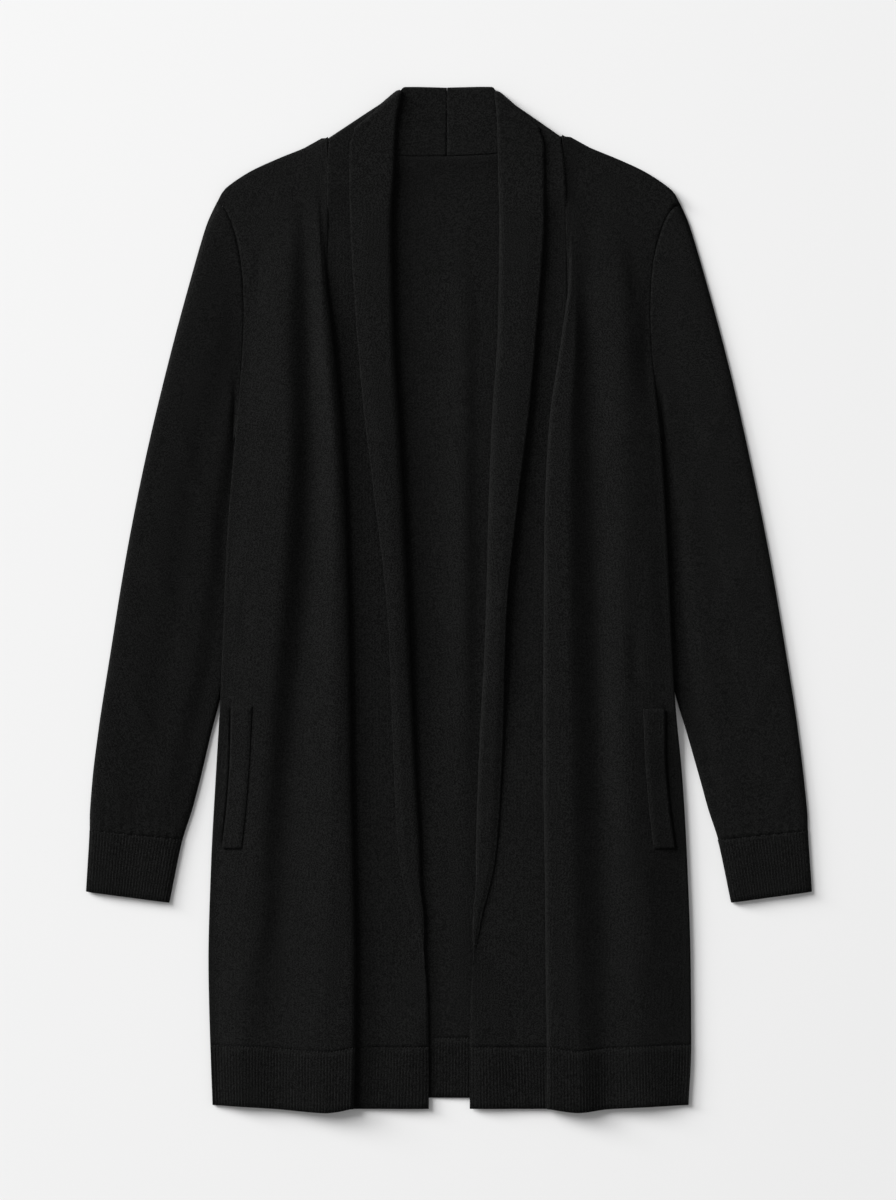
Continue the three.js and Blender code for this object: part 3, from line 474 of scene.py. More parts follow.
# %% [markdown]
# The finishes come before the pieces. Fine jersey is columns of V-shaped stitches under a
# short fuzz, and the fuzz is what turns black cloth grey where light grazes it. A picture
# of knitting could be tiled over it, but a pattern worked out from the cloth's own UV map
# stays sharp at any size. One node group draws the stitches for both finishes.

# %% The knit pattern, as a node group
NOISES = (("Fuzz", 900.0, 2.0), ("Patches", 38.0, 2.0))


def node(tree, kind, **values):
    """A new shader node with the given properties."""
    made = tree.nodes.new(kind)
    for key, value in values.items():
        setattr(made, key, value)
    return made


def maths(tree, operation, *inputs):
    """The output of a new maths node, whose inputs are linked sockets or plain numbers."""
    made = node(tree, "ShaderNodeMath", operation=operation)
    for socket, value in zip(made.inputs, inputs):
        if hasattr(value, "links"):
            tree.links.new(value, socket)
        else:
            socket.default_value = value
    return made.outputs[0]


def knit_group():
    """Stitch height: a rounded wale across, times a course that leans up into a V at each wale."""
    tree = bpy.data.node_groups.new("fine_knit", "ShaderNodeTree")
    wide = tree.interface.new_socket("Wale", in_out="INPUT", socket_type="NodeSocketFloat")
    tall = tree.interface.new_socket("Course", in_out="INPUT", socket_type="NodeSocketFloat")
    wide.default_value, tall.default_value = 0.0013, 0.0010
    tree.interface.new_socket("Height", in_out="OUTPUT", socket_type="NodeSocketFloat")
    tree.interface.new_socket("Fuzz", in_out="OUTPUT", socket_type="NodeSocketFloat")
    tree.interface.new_socket("Patches", in_out="OUTPUT", socket_type="NodeSocketFloat")
    given = node(tree, "NodeGroupInput")
    result = node(tree, "NodeGroupOutput")
    cloth = node(tree, "ShaderNodeUVMap", uv_map="cloth")
    split = node(tree, "ShaderNodeSeparateXYZ")
    tree.links.new(cloth.outputs[0], split.inputs[0])
    wale = maths(tree, "FRACT", maths(tree, "DIVIDE", split.outputs[0], given.outputs[0]))
    lean = maths(tree, "ABSOLUTE", maths(tree, "SUBTRACT", wale, 0.5))
    course = maths(tree, "ADD", maths(tree, "DIVIDE", split.outputs[1], given.outputs[1]), lean)
    round_wale = maths(tree, "SINE", maths(tree, "MULTIPLY", wale, np.pi))
    wave = maths(tree, "SINE", maths(tree, "MULTIPLY", course, np.pi))
    round_course = maths(tree, "ABSOLUTE", wave)
    tree.links.new(maths(tree, "MULTIPLY", round_wale, round_course), result.inputs["Height"])
    place = node(tree, "ShaderNodeTexCoord")
    for name, size, detail in NOISES:
        noise = node(tree, "ShaderNodeTexNoise")
        noise.inputs["Scale"].default_value = size
        noise.inputs["Detail"].default_value = detail
        tree.links.new(place.outputs["Object"], noise.inputs["Vector"])
        tree.links.new(noise.outputs["Fac"], result.inputs[name])
    return tree


KNIT = knit_group()
print("knit group:", len(KNIT.nodes), "nodes")

# %% [markdown]
# The jersey and the ribbing are two blacks of nearly one shade: the rib is denser and a
# little darker. The linking thread is given a paler black, a painted highlight for the light
# its raised loops catch. Each finish keeps its own shader, which takes the stitches and the
# fuzz from the group as colour, roughness and bump.

# %% Two blacks, and a thread with a painted highlight
RAMP_ENDS = (0.43, 0.57)
FUZZ_SHARE, PATCH_SHARE = 0.94, 0.06
ROUGHNESS = (0.82, 0.98)
SPECULAR = 0.04
SHEEN_ROUGHNESS = 0.5
SHEEN_TINT = (0.55, 0.55, 0.55, 1)
BUMP_DISTANCE = 0.001
FUZZ_BUMP = 0.9


def knit_material(name, dark, light, wale, course, stitch_depth, sheen):
    """Fuzz and patches mix the two blacks; stitches and fuzz raise the surface as bump."""
    material = bpy.data.materials.new(name)
    material.use_nodes = True
    tree = material.node_tree
    shader = tree.nodes["Principled BSDF"]
    knit = node(tree, "ShaderNodeGroup", node_tree=KNIT)
    knit.inputs["Wale"].default_value = wale
    knit.inputs["Course"].default_value = course
    ramp = node(tree, "ShaderNodeValToRGB")
    for element, position, colour in zip(ramp.color_ramp.elements, RAMP_ENDS, (dark, light)):
        element.position = position
        element.color = (*colour, 1)
    blend = maths(tree, "ADD", maths(tree, "MULTIPLY", knit.outputs["Fuzz"], FUZZ_SHARE),
                  maths(tree, "MULTIPLY", knit.outputs["Patches"], PATCH_SHARE))
    tree.links.new(blend, ramp.inputs[0])
    tree.links.new(ramp.outputs[0], shader.inputs["Base Color"])
    rough = node(tree, "ShaderNodeMapRange")
    rough.inputs["To Min"].default_value, rough.inputs["To Max"].default_value = ROUGHNESS
    tree.links.new(knit.outputs["Fuzz"], rough.inputs["Value"])
    tree.links.new(rough.outputs[0], shader.inputs["Roughness"])
    shader.inputs["Specular IOR Level"].default_value = SPECULAR
    shader.inputs["Sheen Weight"].default_value = sheen
    shader.inputs["Sheen Roughness"].default_value = SHEEN_ROUGHNESS
    shader.inputs["Sheen Tint"].default_value = SHEEN_TINT
    bump = node(tree, "ShaderNodeBump")
    bump.inputs["Distance"].default_value = BUMP_DISTANCE
    bump.inputs["Strength"].default_value = 1.0
    height = maths(tree, "ADD", maths(tree, "MULTIPLY", knit.outputs["Height"], stitch_depth),
                   maths(tree, "MULTIPLY", knit.outputs["Fuzz"], FUZZ_BUMP))
    tree.links.new(height, bump.inputs["Height"])
    tree.links.new(bump.outputs[0], shader.inputs["Normal"])
    return material


JERSEY = knit_material(
    "black_jersey", dark=(0.0037, 0.0038, 0.0037), light=(0.0112, 0.0114, 0.0112),
    wale=0.0013, course=0.0010, stitch_depth=0.35, sheen=0.015,
)
RIBBING = knit_material(
    "black_ribbing", dark=(0.0034, 0.0035, 0.0034), light=(0.0103, 0.0105, 0.0103),
    wale=0.00145, course=0.0011, stitch_depth=0.35, sheen=0.015,
)
# The thread's paler colours are a painted highlight for the light its loops catch.
THREAD_PAINTED_HIGHLIGHT = knit_material(
    "linking_thread_painted_highlight", dark=(0.014, 0.014, 0.014), light=(0.034, 0.034, 0.034),
    wale=0.0009, course=0.0007, stitch_depth=0.2, sheen=0.02,
)
print("finishes:", JERSEY.name, RIBBING.name, THREAD_PAINTED_HIGHLIGHT.name)

# %% [markdown]
# Small creases make cloth look handled. Each is a soft trough or ridge along a line, laid
# where the cloth shows one, and fades out at both ends. They move the sheet up or
# down before it gets its thickness, so both faces follow.

# %% Creases
CREASE_FADE = 0.7


def creased(grid, rows, weight=1.0):
    """Adds a crease to z for each row: two ends x0, y0 and x1, y1, then width and depth.

    Each adds depth x exp(-(distance from its line / width) squared) x sin(pi x share along
    it) to the power CREASE_FADE, times the weight.
    """
    grid = grid.copy()
    for x0, y0, x1, y1, width, depth in rows:
        way = np.array([x1 - x0, y1 - y0], float)
        long = np.linalg.norm(way)
        way /= long
        offset = grid[..., :2] - (x0, y0)
        share = np.clip((offset @ way) / long, 0, 1)
        off_line = offset @ np.array([-way[1], way[0]])
        fade = np.sin(np.pi * share) ** CREASE_FADE
        grid[..., 2] += weight * depth * np.exp(-((off_line / width) ** 2)) * fade
    return grid


flat = np.zeros((1, 1, 3))
print("a ridge of 2 is", creased(flat, [(-1, 0, 1, 0, 5, 2)])[0, 0, 2], "high at its middle")

# %% [markdown]
# The front panels. The pleat, the long folds and the side edge all come from one skin, so
# the cloth is never cut where it turns. It could be modelled flat and simulated, but then
# the folds would fall somewhere else than in the photograph.

# %% The surface of a front
FRONT_EDGE_KNOT = 10
CREASED_KNOTS = (5, 6)
FRONT_CREASES = {
    LEFT: [
        (-172, 333, -176, 262, 6, -1.3),
        (-187, 20, -190, -60, 7, -1.0),
        (-150, 395, -186, 352, 9, -0.5),
        (-190, 62, -196, -60, 9, 0.7),
        (-163, -255, -176, -330, 8, 0.8),
    ],
    RIGHT: [
        (168, 330, 172, 255, 7, -1.2),
        (168, -20, 172, -95, 7, -1.4),
        (140, 390, 176, 352, 9, -0.5),
        (182, 60, 188, -60, 9, 0.7),
        (178, -245, 186, -330, 8, 0.8),
    ],
}


def front_grid(side, across, along):
    """The front's skin fitted to its armhole, with creases on the part that lies on top."""
    grid = skin(FRONT_KNOTS[side], across, along)
    grid = fit_armhole(side, grid, across, along, FRONT_EDGE_KNOT)
    return creased(grid, FRONT_CREASES[side], smoothstep(*CREASED_KNOTS, across)[None, :])


print("creases on each front:", len(FRONT_CREASES[LEFT]))

# %% [markdown]
# A pocket's mouth is a slit beside its welt. The slit could be cut through, but no pocket
# bag shows behind it, so the cloth only dips there, sharply enough to stay dark. The dip is
# narrower than the panel's columns, so columns half a millimetre apart replace them there.

# %% Front panels, with their pocket mouths
MOUTHS = {
    LEFT: [(-95, 200.9), (-141, 201.8), (-184, 204.4), (-230, 209.6)],
    RIGHT: [(-98, 198.6), (-141, 198.8), (-184, 202.0), (-230, 208.0)],
}
MOUTH_DEPTH = 1.3
MOUTH_WIDTH = 1.3
MOUTH_END_FADE = 8
MOUTH_REACH = (199.5, 207, 0.5)
MOUTH_FROM_KNOT = 8
MOUTH_MARGIN = 0.1
FRONT_STEP = 2.0
ALONG_STEP = 3.4
FRONT_MEASURED_ROWS = (6, 7)
FRONT_MEASURED_COLUMN = 7


def with_mouth(side, grid):
    """Sinks the cloth by depth x exp(-(distance from the pocket's mouth / width) squared)."""
    line = curve_through(MOUTHS[side], np.linspace(0, 3, 60))
    y = grid[..., 1]
    mouth_x = np.interp(-y, -line[:, 0], line[:, 1])
    top, low = line[0, 0], line[-1, 0]
    ends = smoothstep(low, low + MOUTH_END_FADE, y) * (1 - smoothstep(top - MOUTH_END_FADE, top, y))
    away = (np.abs(grid[..., 0]) - mouth_x) / MOUTH_WIDTH
    sunk = grid.copy()
    sunk[..., 2] -= MOUTH_DEPTH * np.exp(-(away**2)) * ends
    return sunk


def front(side):
    """A front panel, from the shoulder to its hem's seam."""
    knots = FRONT_KNOTS[side]
    end = HEM_SEAM_ROW - seam_rows(knots, HEM_SEAM_ROW, FRONT_MEASURED_COLUMN)
    even_row, mouth_row = FRONT_MEASURED_ROWS
    across = even_across(knots, even_row, 0, FRONT_EDGE_KNOT, FRONT_STEP)
    fine = np.linspace(MOUTH_FROM_KNOT, FRONT_EDGE_KNOT, 400)
    reach = np.abs(skin(knots, fine, [mouth_row])[0, :, 0])
    mouth = np.interp(np.arange(*MOUTH_REACH), reach, fine)
    outside = (across < mouth[0] - MOUTH_MARGIN) | (across > mouth[-1] + MOUTH_MARGIN)
    across = np.sort(np.concatenate([across[outside], mouth]))
    along = even_along(knots, FRONT_MEASURED_COLUMN, 0, end, ALONG_STEP)
    grid = with_mouth(side, front_grid(side, across, along))
    name = f"front_{SIDE_NAME[side]}_cloth"
    report(name, grid)
    cloth_wall(name, grid, BODY_WALL, -side, JERSEY)


for side in (LEFT, RIGHT):
    front(side)

# %% [markdown]
# The back lies flat on the floor. Its low ridges are nested under the crests of the fronts,
# as two layers of cloth that were smoothed down together, and it lifts at the sides where
# the inner edges of the sleeves lie under it.

# %% The back's knots
BACK_NECK_Y = 408
BACK_MIDDLE_Y = (BACK_NECK_Y, 350, 298, 235, 156, 55, -92, -166, -248, -331, -403, -457.5)
BACK_MIDDLE = ((-18, 0), (12, 2.8), (31, 0))
BACK_MIDDLE_SWELL = (0, 0.1, 0.3, 0.6, 1, 1, 0.9, 0.55, 0.4, 0.3, 0.2, 0.15)
BACK_HEM_RISE = {HEM_SEAM_ROW: 3, HEM_END_ROW: 4}
BACK_SEAM_IN, BACK_SEAM_OUT = 8, 3
BACK_CREST_OUT = 7
BACK_SIDE_FLAT = 8
NESTING = 0.6
NESTING_START = 0.4
NESTING_LIMIT = 6.5


def back_knots(index):
    """One row of the back, from the left side to the right, nested under the fronts' row."""
    def half(side):
        r = named(FRONT_COLUMNS, FRONT_ROWS[side][index])
        lifted = index in LIFTED_ROWS
        side_z = BACK_LEVEL + (BACK_EDGE_LIFT if lifted else 0)
        hem = BACK_HEM_RISE.get(index, 0)
        crest_x = max(r["cX"], r["seam"] + BACK_CREST_OUT)
        flat_x = r["side"] - BACK_SIDE_FLAT

        def nested(z):
            return BACK_LEVEL + NESTING * max(0, z - FRONT_LEVEL - NESTING_START)

        inner_y = (r["ySeam"] + BACK_MIDDLE_Y[index]) / 2 + hem / 2
        return [
            (side * (r["seam"] - BACK_SEAM_IN), inner_y, BACK_LEVEL),
            (side * (r["seam"] + BACK_SEAM_OUT), row_y(r, index, r["seam"]) + hem, BACK_LEVEL),
            (side * crest_x, row_y(r, index, r["cX"]) + hem, nested(min(r["cZ"], NESTING_LIMIT))),
            (side * r["bX"], row_y(r, index, r["bX"]) + hem, BACK_LEVEL),
            (side * r["aX"], row_y(r, index, r["aX"]) + hem, nested(r["aZ"])),
            (side * flat_x, row_y(r, index, flat_x), side_z),
            (side * r["side"], row_y(r, index, r["side"]), side_z),
        ]

    y, swell = BACK_MIDDLE_Y[index], BACK_MIDDLE_SWELL[index]
    middle = [(x, y, BACK_LEVEL + z * swell) for x, z in BACK_MIDDLE]
    return half(LEFT)[::-1] + middle + half(RIGHT)


BACK_KNOTS = np.array([back_knots(i) for i in range(len(BACK_MIDDLE_Y))], float)
print("knots of the back:", BACK_KNOTS.shape)

# %% [markdown]
# The neckline curves up at both ends and meets the collar's seam, which stands a little
# above the floor, so the last stretch of the back rises to it. The grid could be cut to the
# curve with a boolean, but moving its top rows keeps even columns and a clean edge.

# %% Back panel
NECKLINE = (
    (-112, 424.5), (-98, 420), (-73, 412.5), (-36, 408), (-2, 408),
    (32, 409.5), (66, 414.5), (90, 421.5), (104, 426.5),
)
NECK_OVERLAP = 0.4
NECK_FIT_REACH = 40
NECK_RISE = 2.1
NECK_RISE_REACH = 24
NECK_RISE_WIDE = (62, 92)
BACK_EDGE_KNOT = 16
BACK_MEASURED_ROW, BACK_MEASURED_COLUMN = 6, 8
BACK_STEP, BACK_ALONG_STEP = 3.2, 4.5
BACK_CREASES = [
    (13, 150, 14, -60, 7, 0.7),
    (-14, -150, -9, -330, 7, 0.5),
    (10, 330, 14, 180, 7, 0.4),
]


def fit_neck(grid):
    """Moves the top rows to end on the neckline, and lifts them where they meet it.

    The move fades out over NECK_FIT_REACH down the cloth. The lift is NECK_RISE x its fade
    over NECK_RISE_REACH down x its fade between the two distances NECK_RISE_WIDE.
    """
    line = curve_through(NECKLINE, np.linspace(0, len(NECKLINE) - 1, 200))
    x, y = grid[..., 0], grid[..., 1]
    wanted = np.interp(x[0], line[:, 0], line[:, 1]) + NECK_OVERLAP
    inside = (x[0] > NECKLINE[0][0]) & (x[0] < NECKLINE[-1][0])
    below = y[0] - y
    fitted = grid.copy()
    near = 1 - smoothstep(0, NECK_FIT_REACH, below)
    fitted[..., 1] += np.where(inside, wanted - y[0], 0) * near
    middle = 1 - smoothstep(*NECK_RISE_WIDE, np.abs(x))
    fitted[..., 2] += NECK_RISE * (1 - smoothstep(0, NECK_RISE_REACH, below)) * middle
    return fitted


def back_grid(across, along):
    """Both armholes are fitted, the left one on the grid turned end for end."""
    grid = fit_neck(skin(BACK_KNOTS, across, along))
    grid = fit_armhole(RIGHT, grid, across, along, BACK_EDGE_KNOT)
    from_right = BACK_EDGE_KNOT - across[::-1]
    flipped = fit_armhole(LEFT, grid[:, ::-1], from_right, along, BACK_EDGE_KNOT)
    return creased(flipped[:, ::-1], BACK_CREASES)


end = HEM_SEAM_ROW - seam_rows(BACK_KNOTS, HEM_SEAM_ROW, BACK_MEASURED_COLUMN)
back_across = even_across(BACK_KNOTS, BACK_MEASURED_ROW, 0, BACK_EDGE_KNOT, BACK_STEP)
back_along = even_along(BACK_KNOTS, BACK_MEASURED_COLUMN, 0, end, BACK_ALONG_STEP)
grid = back_grid(back_across, back_along)
report("back_cloth", grid)
cloth_wall("back_cloth", grid, BODY_WALL, -1, JERSEY)

# %% [markdown]
# The sleeves are tubes that lie flattened. Each ring has six knots over the top, for its
# soft folds, four underneath, where it rests, and one at each edge. The first ring follows
# the armhole. A circle swept along the arm would give a tube too, but a table of its two
# edges keeps the photograph's outline.

# %% The sleeves, ring by ring
SLEEVE_COLUMNS = ("outerY", "innerY", "bow", "crest", "dip", "ridge", "inner")
SLEEVE_ROWS = [
    (348, 140, 13, 3.6, 3.4, 3.6, 2.4),
    (282, 115, 8, 4.6, 3.8, 4.8, 2.35),
    (206, 72, 3, 5.0, 4.0, 4.8, 2.35),
    (127, 24, 0, 5.0, 3.8, 4.6, 2.35),
    (41, -26, 0, 4.8, 3.8, 4.6, 2.35),
    (-44, -76, 0, 4.8, 4.0, 4.8, 2.35),
    (-117, -124, 0, 4.6, 3.8, 4.6, 2.8),
    (-166, -166, 0, 4.6, 4.2, 4.8, 3.4),
    (-200, -193, 0, 4.4, 4.2, 4.6, 3.8),
    (-212, -220.5, 0, 4.2, 4.0, 4.2, 4.0),
    (-268, -278, 0, 3.8, 3.6, 3.8, 3.6),
]
OUTER_X = {
    LEFT: (221.5, 241, 261, 279.6, 296.6, 310.4, 321.8, 327.8, 330.2, 330.2, 333.4),
    RIGHT: (218.6, 238.4, 258.4, 276.2, 293.5, 308, 319.4, 325.4, 328.6, 328.8, 332.4),
}
INNER_X = {
    LEFT: (198.7, 195, 196, 198, 201, 208, 220, 230, 237.2, 246, 258),
    RIGHT: (195.9, 192.2, 193.2, 196.5, 199.5, 205, 218.5, 230.5, 238, 247, 259.3),
}
CUFF_SEAM_RING = 10
CUFF_END_RING = 11
SLEEVE_FLOOR = SLEEVE_WALL / 2
TOP_SHARES = (0.05, 0.3, 0.5, 0.7, 0.87, 0.96)
UNDER_SHARES = (0.96, 0.7, 0.3, 0.05)
SLEEVE_KNOTS = len(TOP_SHARES) + len(UNDER_SHARES) + 2
UNDERARM_RISE_START = 0.75
SHOULDER_EDGE_Z = 2
OUTER_EDGE_Z, INNER_EDGE_Z = 1.7, 1.5
OUTER_TOP_Z = 2.6
INNER_TOP_LIMIT = 3


def armhole_ring(side):
    """The first ring: down the armhole's line on the front, and back up it underneath."""
    def lift(share):
        return float(smoothstep(UNDERARM_RISE_START, 1, share))

    def top_z(share):
        return FRONT_LEVEL + ARMHOLE_RISE + ARMHOLE_LIFT * lift(share)

    def under_z(share):
        return BACK_LEVEL + BACK_EDGE_LIFT * lift(share)

    def knot(share, z):
        return (*armhole(side, share, ARMHOLE_GAP / 2), z)

    return [
        knot(0, SHOULDER_EDGE_Z),
        *[knot(share, top_z(share)) for share in TOP_SHARES],
        knot(1, (top_z(1) + under_z(1)) / 2),
        *[knot(share, under_z(share)) for share in UNDER_SHARES],
    ]


def sleeve_ring(r, outer_x, inner_x):
    """A ring between the sleeve's two edges, bowed towards the body near the armhole."""
    def place(share):
        bow = r["bow"] * np.sin(np.pi * share**BOW_POWER)
        x = outer_x + (inner_x - outer_x) * share - bow
        return x, r["outerY"] + (r["innerY"] - r["outerY"]) * share

    first, last = (OUTER_TOP_Z + r["crest"]) / 2, min(r["inner"], INNER_TOP_LIMIT)
    tops = (first, r["crest"], r["dip"], r["ridge"], r["inner"], last)
    return [
        (*place(0), OUTER_EDGE_Z),
        *[(*place(share), z) for share, z in zip(TOP_SHARES, tops)],
        (*place(1), INNER_EDGE_Z),
        *[(*place(share), SLEEVE_FLOOR) for share in UNDER_SHARES],
    ]


SLEEVE_SKINS = {}
for side in (LEFT, RIGHT):
    edges = zip(SLEEVE_ROWS, OUTER_X[side], INNER_X[side])
    rings = [sleeve_ring(named(SLEEVE_COLUMNS, row), *reach) for row, *reach in edges]
    SLEEVE_SKINS[side] = np.array([armhole_ring(side), *rings], float) * (side, 1, 1)
print("knots of a sleeve:", SLEEVE_SKINS[LEFT].shape)

# %% [markdown]
# A long sleeve laid straight keeps a few diagonal creases from the bend of the arm, and
# where its wide end is gathered onto the narrow cuff it ripples. Both are on the top layer
# only, because the layer under it is pressed flat by the floor.

# %% Sleeves
SLEEVE_CREASES = {
    LEFT: [
        (-262, 190, -216, 60, 7, 0.7),
        (-280, 60, -238, -60, 8, 0.6),
        (-300, -70, -262, -150, 6, 0.7),
        (-212, 100, -208, 10, 6, -0.7),
        (-318, -150, -292, -205, 5, 0.6),
    ],
    RIGHT: [
        (258, 200, 216, 80, 7, 0.7),
        (284, 70, 240, -40, 8, 0.6),
        (302, -60, 262, -140, 6, 0.7),
        (212, 100, 208, 10, 6, -0.7),
        (320, -150, 296, -205, 5, 0.6),
    ],
}
GATHER_PITCH = 8.5
GATHER_HEIGHT = 0.45
GATHER_REACH = 22
GATHER_WANDER = (1.3, 11)
ON_TOP_KNOTS = ((0.3, 1.5), (5.5, 6.7))
SLEEVE_STEP = 2.4
SLEEVE_MEASURED_RING, SLEEVE_MEASURED_COLUMN = 5, 3


def sleeve_grid(side, across, along):
    """The skin, with creases, and with small gathers that fade out above the cuff's seam.

    A gather is height x exp(-(distance from the seam / reach) squared) x a raised sine of
    the distance round the sleeve, whose pitch wanders.
    """
    grid = skin(SLEEVE_SKINS[side], across, along, loop=True)
    rising, falling = ON_TOP_KNOTS
    on_top = (smoothstep(*rising, across) * (1 - smoothstep(*falling, across)))[None, :]
    grid = creased(grid, SLEEVE_CREASES[side], on_top)
    around = lengths(grid, 1)
    left_over = lengths(grid, 0)[-1:] - lengths(grid, 0)
    near_cuff = np.exp(-((left_over / GATHER_REACH) ** 2)) * on_top
    wander = GATHER_WANDER[0] * np.sin(around / GATHER_WANDER[1])
    ripple = 0.5 + 0.5 * np.sin(2 * np.pi * around / GATHER_PITCH + wander)
    grid[..., 2] += GATHER_HEIGHT * near_cuff * ripple
    return grid


def sleeve(side):
    """A sleeve, from the armhole to its cuff's seam."""
    knots = SLEEVE_SKINS[side]
    end = CUFF_SEAM_RING - seam_rows(knots, CUFF_SEAM_RING, SLEEVE_MEASURED_COLUMN)
    across = even_across(knots, SLEEVE_MEASURED_RING, 0, SLEEVE_KNOTS, SLEEVE_STEP, loop=True)[:-1]
    along = even_along(knots, SLEEVE_MEASURED_COLUMN, 0, end, ALONG_STEP, loop=True)
    grid = sleeve_grid(side, across, along)
    name = f"sleeve_{SIDE_NAME[side]}_cloth"
    report(name, grid, loop=True)
    cloth_wall(name, grid, SLEEVE_WALL, side, JERSEY, loop=True)


for side in (LEFT, RIGHT):
    sleeve(side)

# %% [markdown]
# Each band is one strip: a stand from the seam to the roll, and a fall turned back from
# the roll to the free edge. It starts at the collar's seam behind the neck, is folded flat
# at the side of the neck, where its layers swap places, and opens out flat at the hem.
# These two tables give its seam, its roll and its free edge round the neck.

# %% The collar round the neck
NECK_COLUMNS = ("seamX", "seamY", "rollX", "rollY", "freeX", "freeY")
BACK_NECK = {
    LEFT: [
        (2.5, 408, 2.5, 470.4, 2.5, 433),
        (36, 408, 17, 470.8, 30, 433.5),
        (73, 412.5, 31, 471.1, 57, 433.5),
        (98, 420, 41, 471, 80, 433.5),
    ],
    RIGHT: [
        (-2.1, 408, -2.1, 470.4, -2.1, 433),
        (32, 409.5, 15, 470.8, 28, 433.5),
        (66, 414.5, 29, 471.1, 54, 434),
        (90, 421.5, 39, 471, 76, 434),
    ],
}
NECK_FOLD = {
    LEFT: (110.2, 422.6, 44.5, 466.2, 87, 431),
    RIGHT: (101.8, 423.8, 42, 465.4, 82, 431.5),
}
FRONT_NECK = {
    LEFT: [(111.9, 401, 49.5, 437, 91.5, 417), (112, 378, 51.5, 392, 92, 388)],
    RIGHT: [(104.9, 401, 44.5, 437, 86.8, 417), (106.3, 378, 45.4, 392, 87, 388)],
}
print("sections behind the neck:", len(BACK_NECK[LEFT]), "and in front:", len(FRONT_NECK[LEFT]))

# %% [markdown]
# Down the front each section of a band is seven knots: seam, stand, three round the roll,
# the fall and the free edge. The roll flattens as it goes down, and near the hem the free
# edge swings in past it to become the edge of the opening.

# %% The bands down the front
BAND_COLUMNS = (
    "y", "stand", "inX", "inZ", "rollX", "rollZ", "outX", "outZ", "fallX", "fallZ",
    "freeX", "freeZ",
)
BAND_ROWS = {
    LEFT: [
        (345, 80, 57, 2.8, 53.5, 5.4, 57, 8.0, 75, 8.0, 91, 7.2),
        (253, 80, 55.5, 2.8, 51.7, 5.6, 55.5, 8.4, 71, 8.6, 85.5, 7.4),
        (175, 78, 51.5, 2.8, 47.4, 5.8, 51.5, 8.8, 65, 9.4, 78.7, 8.0),
        (92, 76, 47, 2.8, 42.8, 5.9, 47, 9.0, 57, 9.8, 68.5, 8.6),
        (-18, 74, 42, 3.0, 37.9, 6.0, 41.5, 9.0, 49, 9.8, 56.4, 8.8),
        (-144, 71, 36, 2.9, 32.3, 4.5, 35.5, 6.3, 43.5, 6.4, 51.5, 5.0),
        (-235, 67, 33.5, 2.9, 27.4, 3.9, 31, 5.0, 38.5, 5.0, 46.5, 4.4),
        (-300, 66, 34, 2.9, 26.2, 3.3, 23.4, 4.1, 25.6, 4.5, 31, 4.3),
        (-355, 66, 41, 3.6, 32.5, 3.7, 26, 3.6, 22.2, 3.6, 20.6, 3.6),
        (-411, 68, 44, 4.2, 35, 4.4, 28, 4.2, 23, 3.6, 19.3, 2.9),
        (-467.5, 70, 46, 3.6, 37, 3.8, 29, 3.6, 23.5, 3.2, 19.3, 2.7),
    ],
    RIGHT: [
        (345, 76, 50, 2.8, 46.5, 5.4, 50, 8.0, 70, 8.0, 86.8, 7.2),
        (253, 76, 49, 2.8, 45.3, 5.6, 49, 8.4, 65, 8.6, 80.3, 7.4),
        (175, 74, 44.5, 2.8, 40.3, 5.8, 44.5, 8.8, 59, 9.4, 73.4, 8.0),
        (92, 72, 41, 2.8, 36.8, 5.9, 41, 9.0, 51, 9.8, 63, 8.6),
        (-18, 70, 38, 3.0, 34, 6.0, 37.5, 9.0, 45, 9.8, 52, 8.8),
        (-144, 66, 31.5, 2.9, 27.8, 4.5, 31, 6.4, 39.5, 6.5, 48.5, 5.1),
        (-235, 63, 30.5, 2.9, 24.9, 3.9, 28, 5.0, 35, 5.0, 42.5, 4.4),
        (-300, 62, 32, 2.9, 24.6, 3.3, 21.8, 4.1, 23.6, 4.5, 28, 4.3),
        (-355, 64.5, 39.5, 3.6, 31.5, 3.7, 25.5, 3.6, 22, 3.6, 20.3, 3.6),
        (-411, 66, 42, 4.2, 34, 4.4, 27, 4.2, 22.5, 3.6, 18.9, 2.9),
        (-467.5, 68, 44, 3.6, 35, 3.8, 28, 3.6, 22.8, 3.2, 18.9, 2.7),
    ],
}
print("sections down each front:", len(BAND_ROWS[LEFT]))

# %% [markdown]
# Where the collar goes over the side of the neck its two layers swap places. The fold there
# is a half circle of sections, tilted from fall-below, -90, to fall-on-top, 90. A twist
# modifier would swing the seam too, but here only the roll's own half circle turns.

# %% From sections to the bands' skins
NECK_CENTRE_Z = 4.2
NECK_RADIUS = 2.3
NECK_ROLL = 2.1
ROLL_SLACK = 1.5
STAND_LEVEL = 2.75
STAND_RISE = 0.15
FOLD_TURNS = (-90, -45, 0, 45, 90)


def neck_knots(r, tilt):
    """A section of the folded collar; tilt turns it from fall-below, -90, to fall-on-top, 90."""
    seam = np.array([r["seamX"], r["seamY"]])
    roll = np.array([r["rollX"], r["rollY"]])
    free = np.array([r["freeX"], r["freeY"]])
    way = (seam - roll) / np.linalg.norm(seam - roll)
    outwards = np.zeros(2) if abs(tilt) == 90 else np.array([-way[1], way[0]])
    angle = np.radians(tilt)
    turn = np.array([*(outwards * np.cos(angle)), np.sin(angle)])

    def knot(toward, share, layer):
        flat = roll + (toward - roll) * share
        return np.array([*flat, NECK_CENTRE_Z]) + turn * (NECK_RADIUS + layer * NECK_ROLL / 2)

    def slack(toward):
        return (NECK_ROLL / 2 + ROLL_SLACK) / np.linalg.norm(toward - roll)

    return [
        knot(seam, 1, -1),
        knot(seam, 0.5, -1),
        knot(seam, slack(seam), -1),
        knot(seam, 0, 0),
        knot(free, slack(free), 1),
        knot(free, 0.5, 1),
        knot(free, 1, 1),
    ]


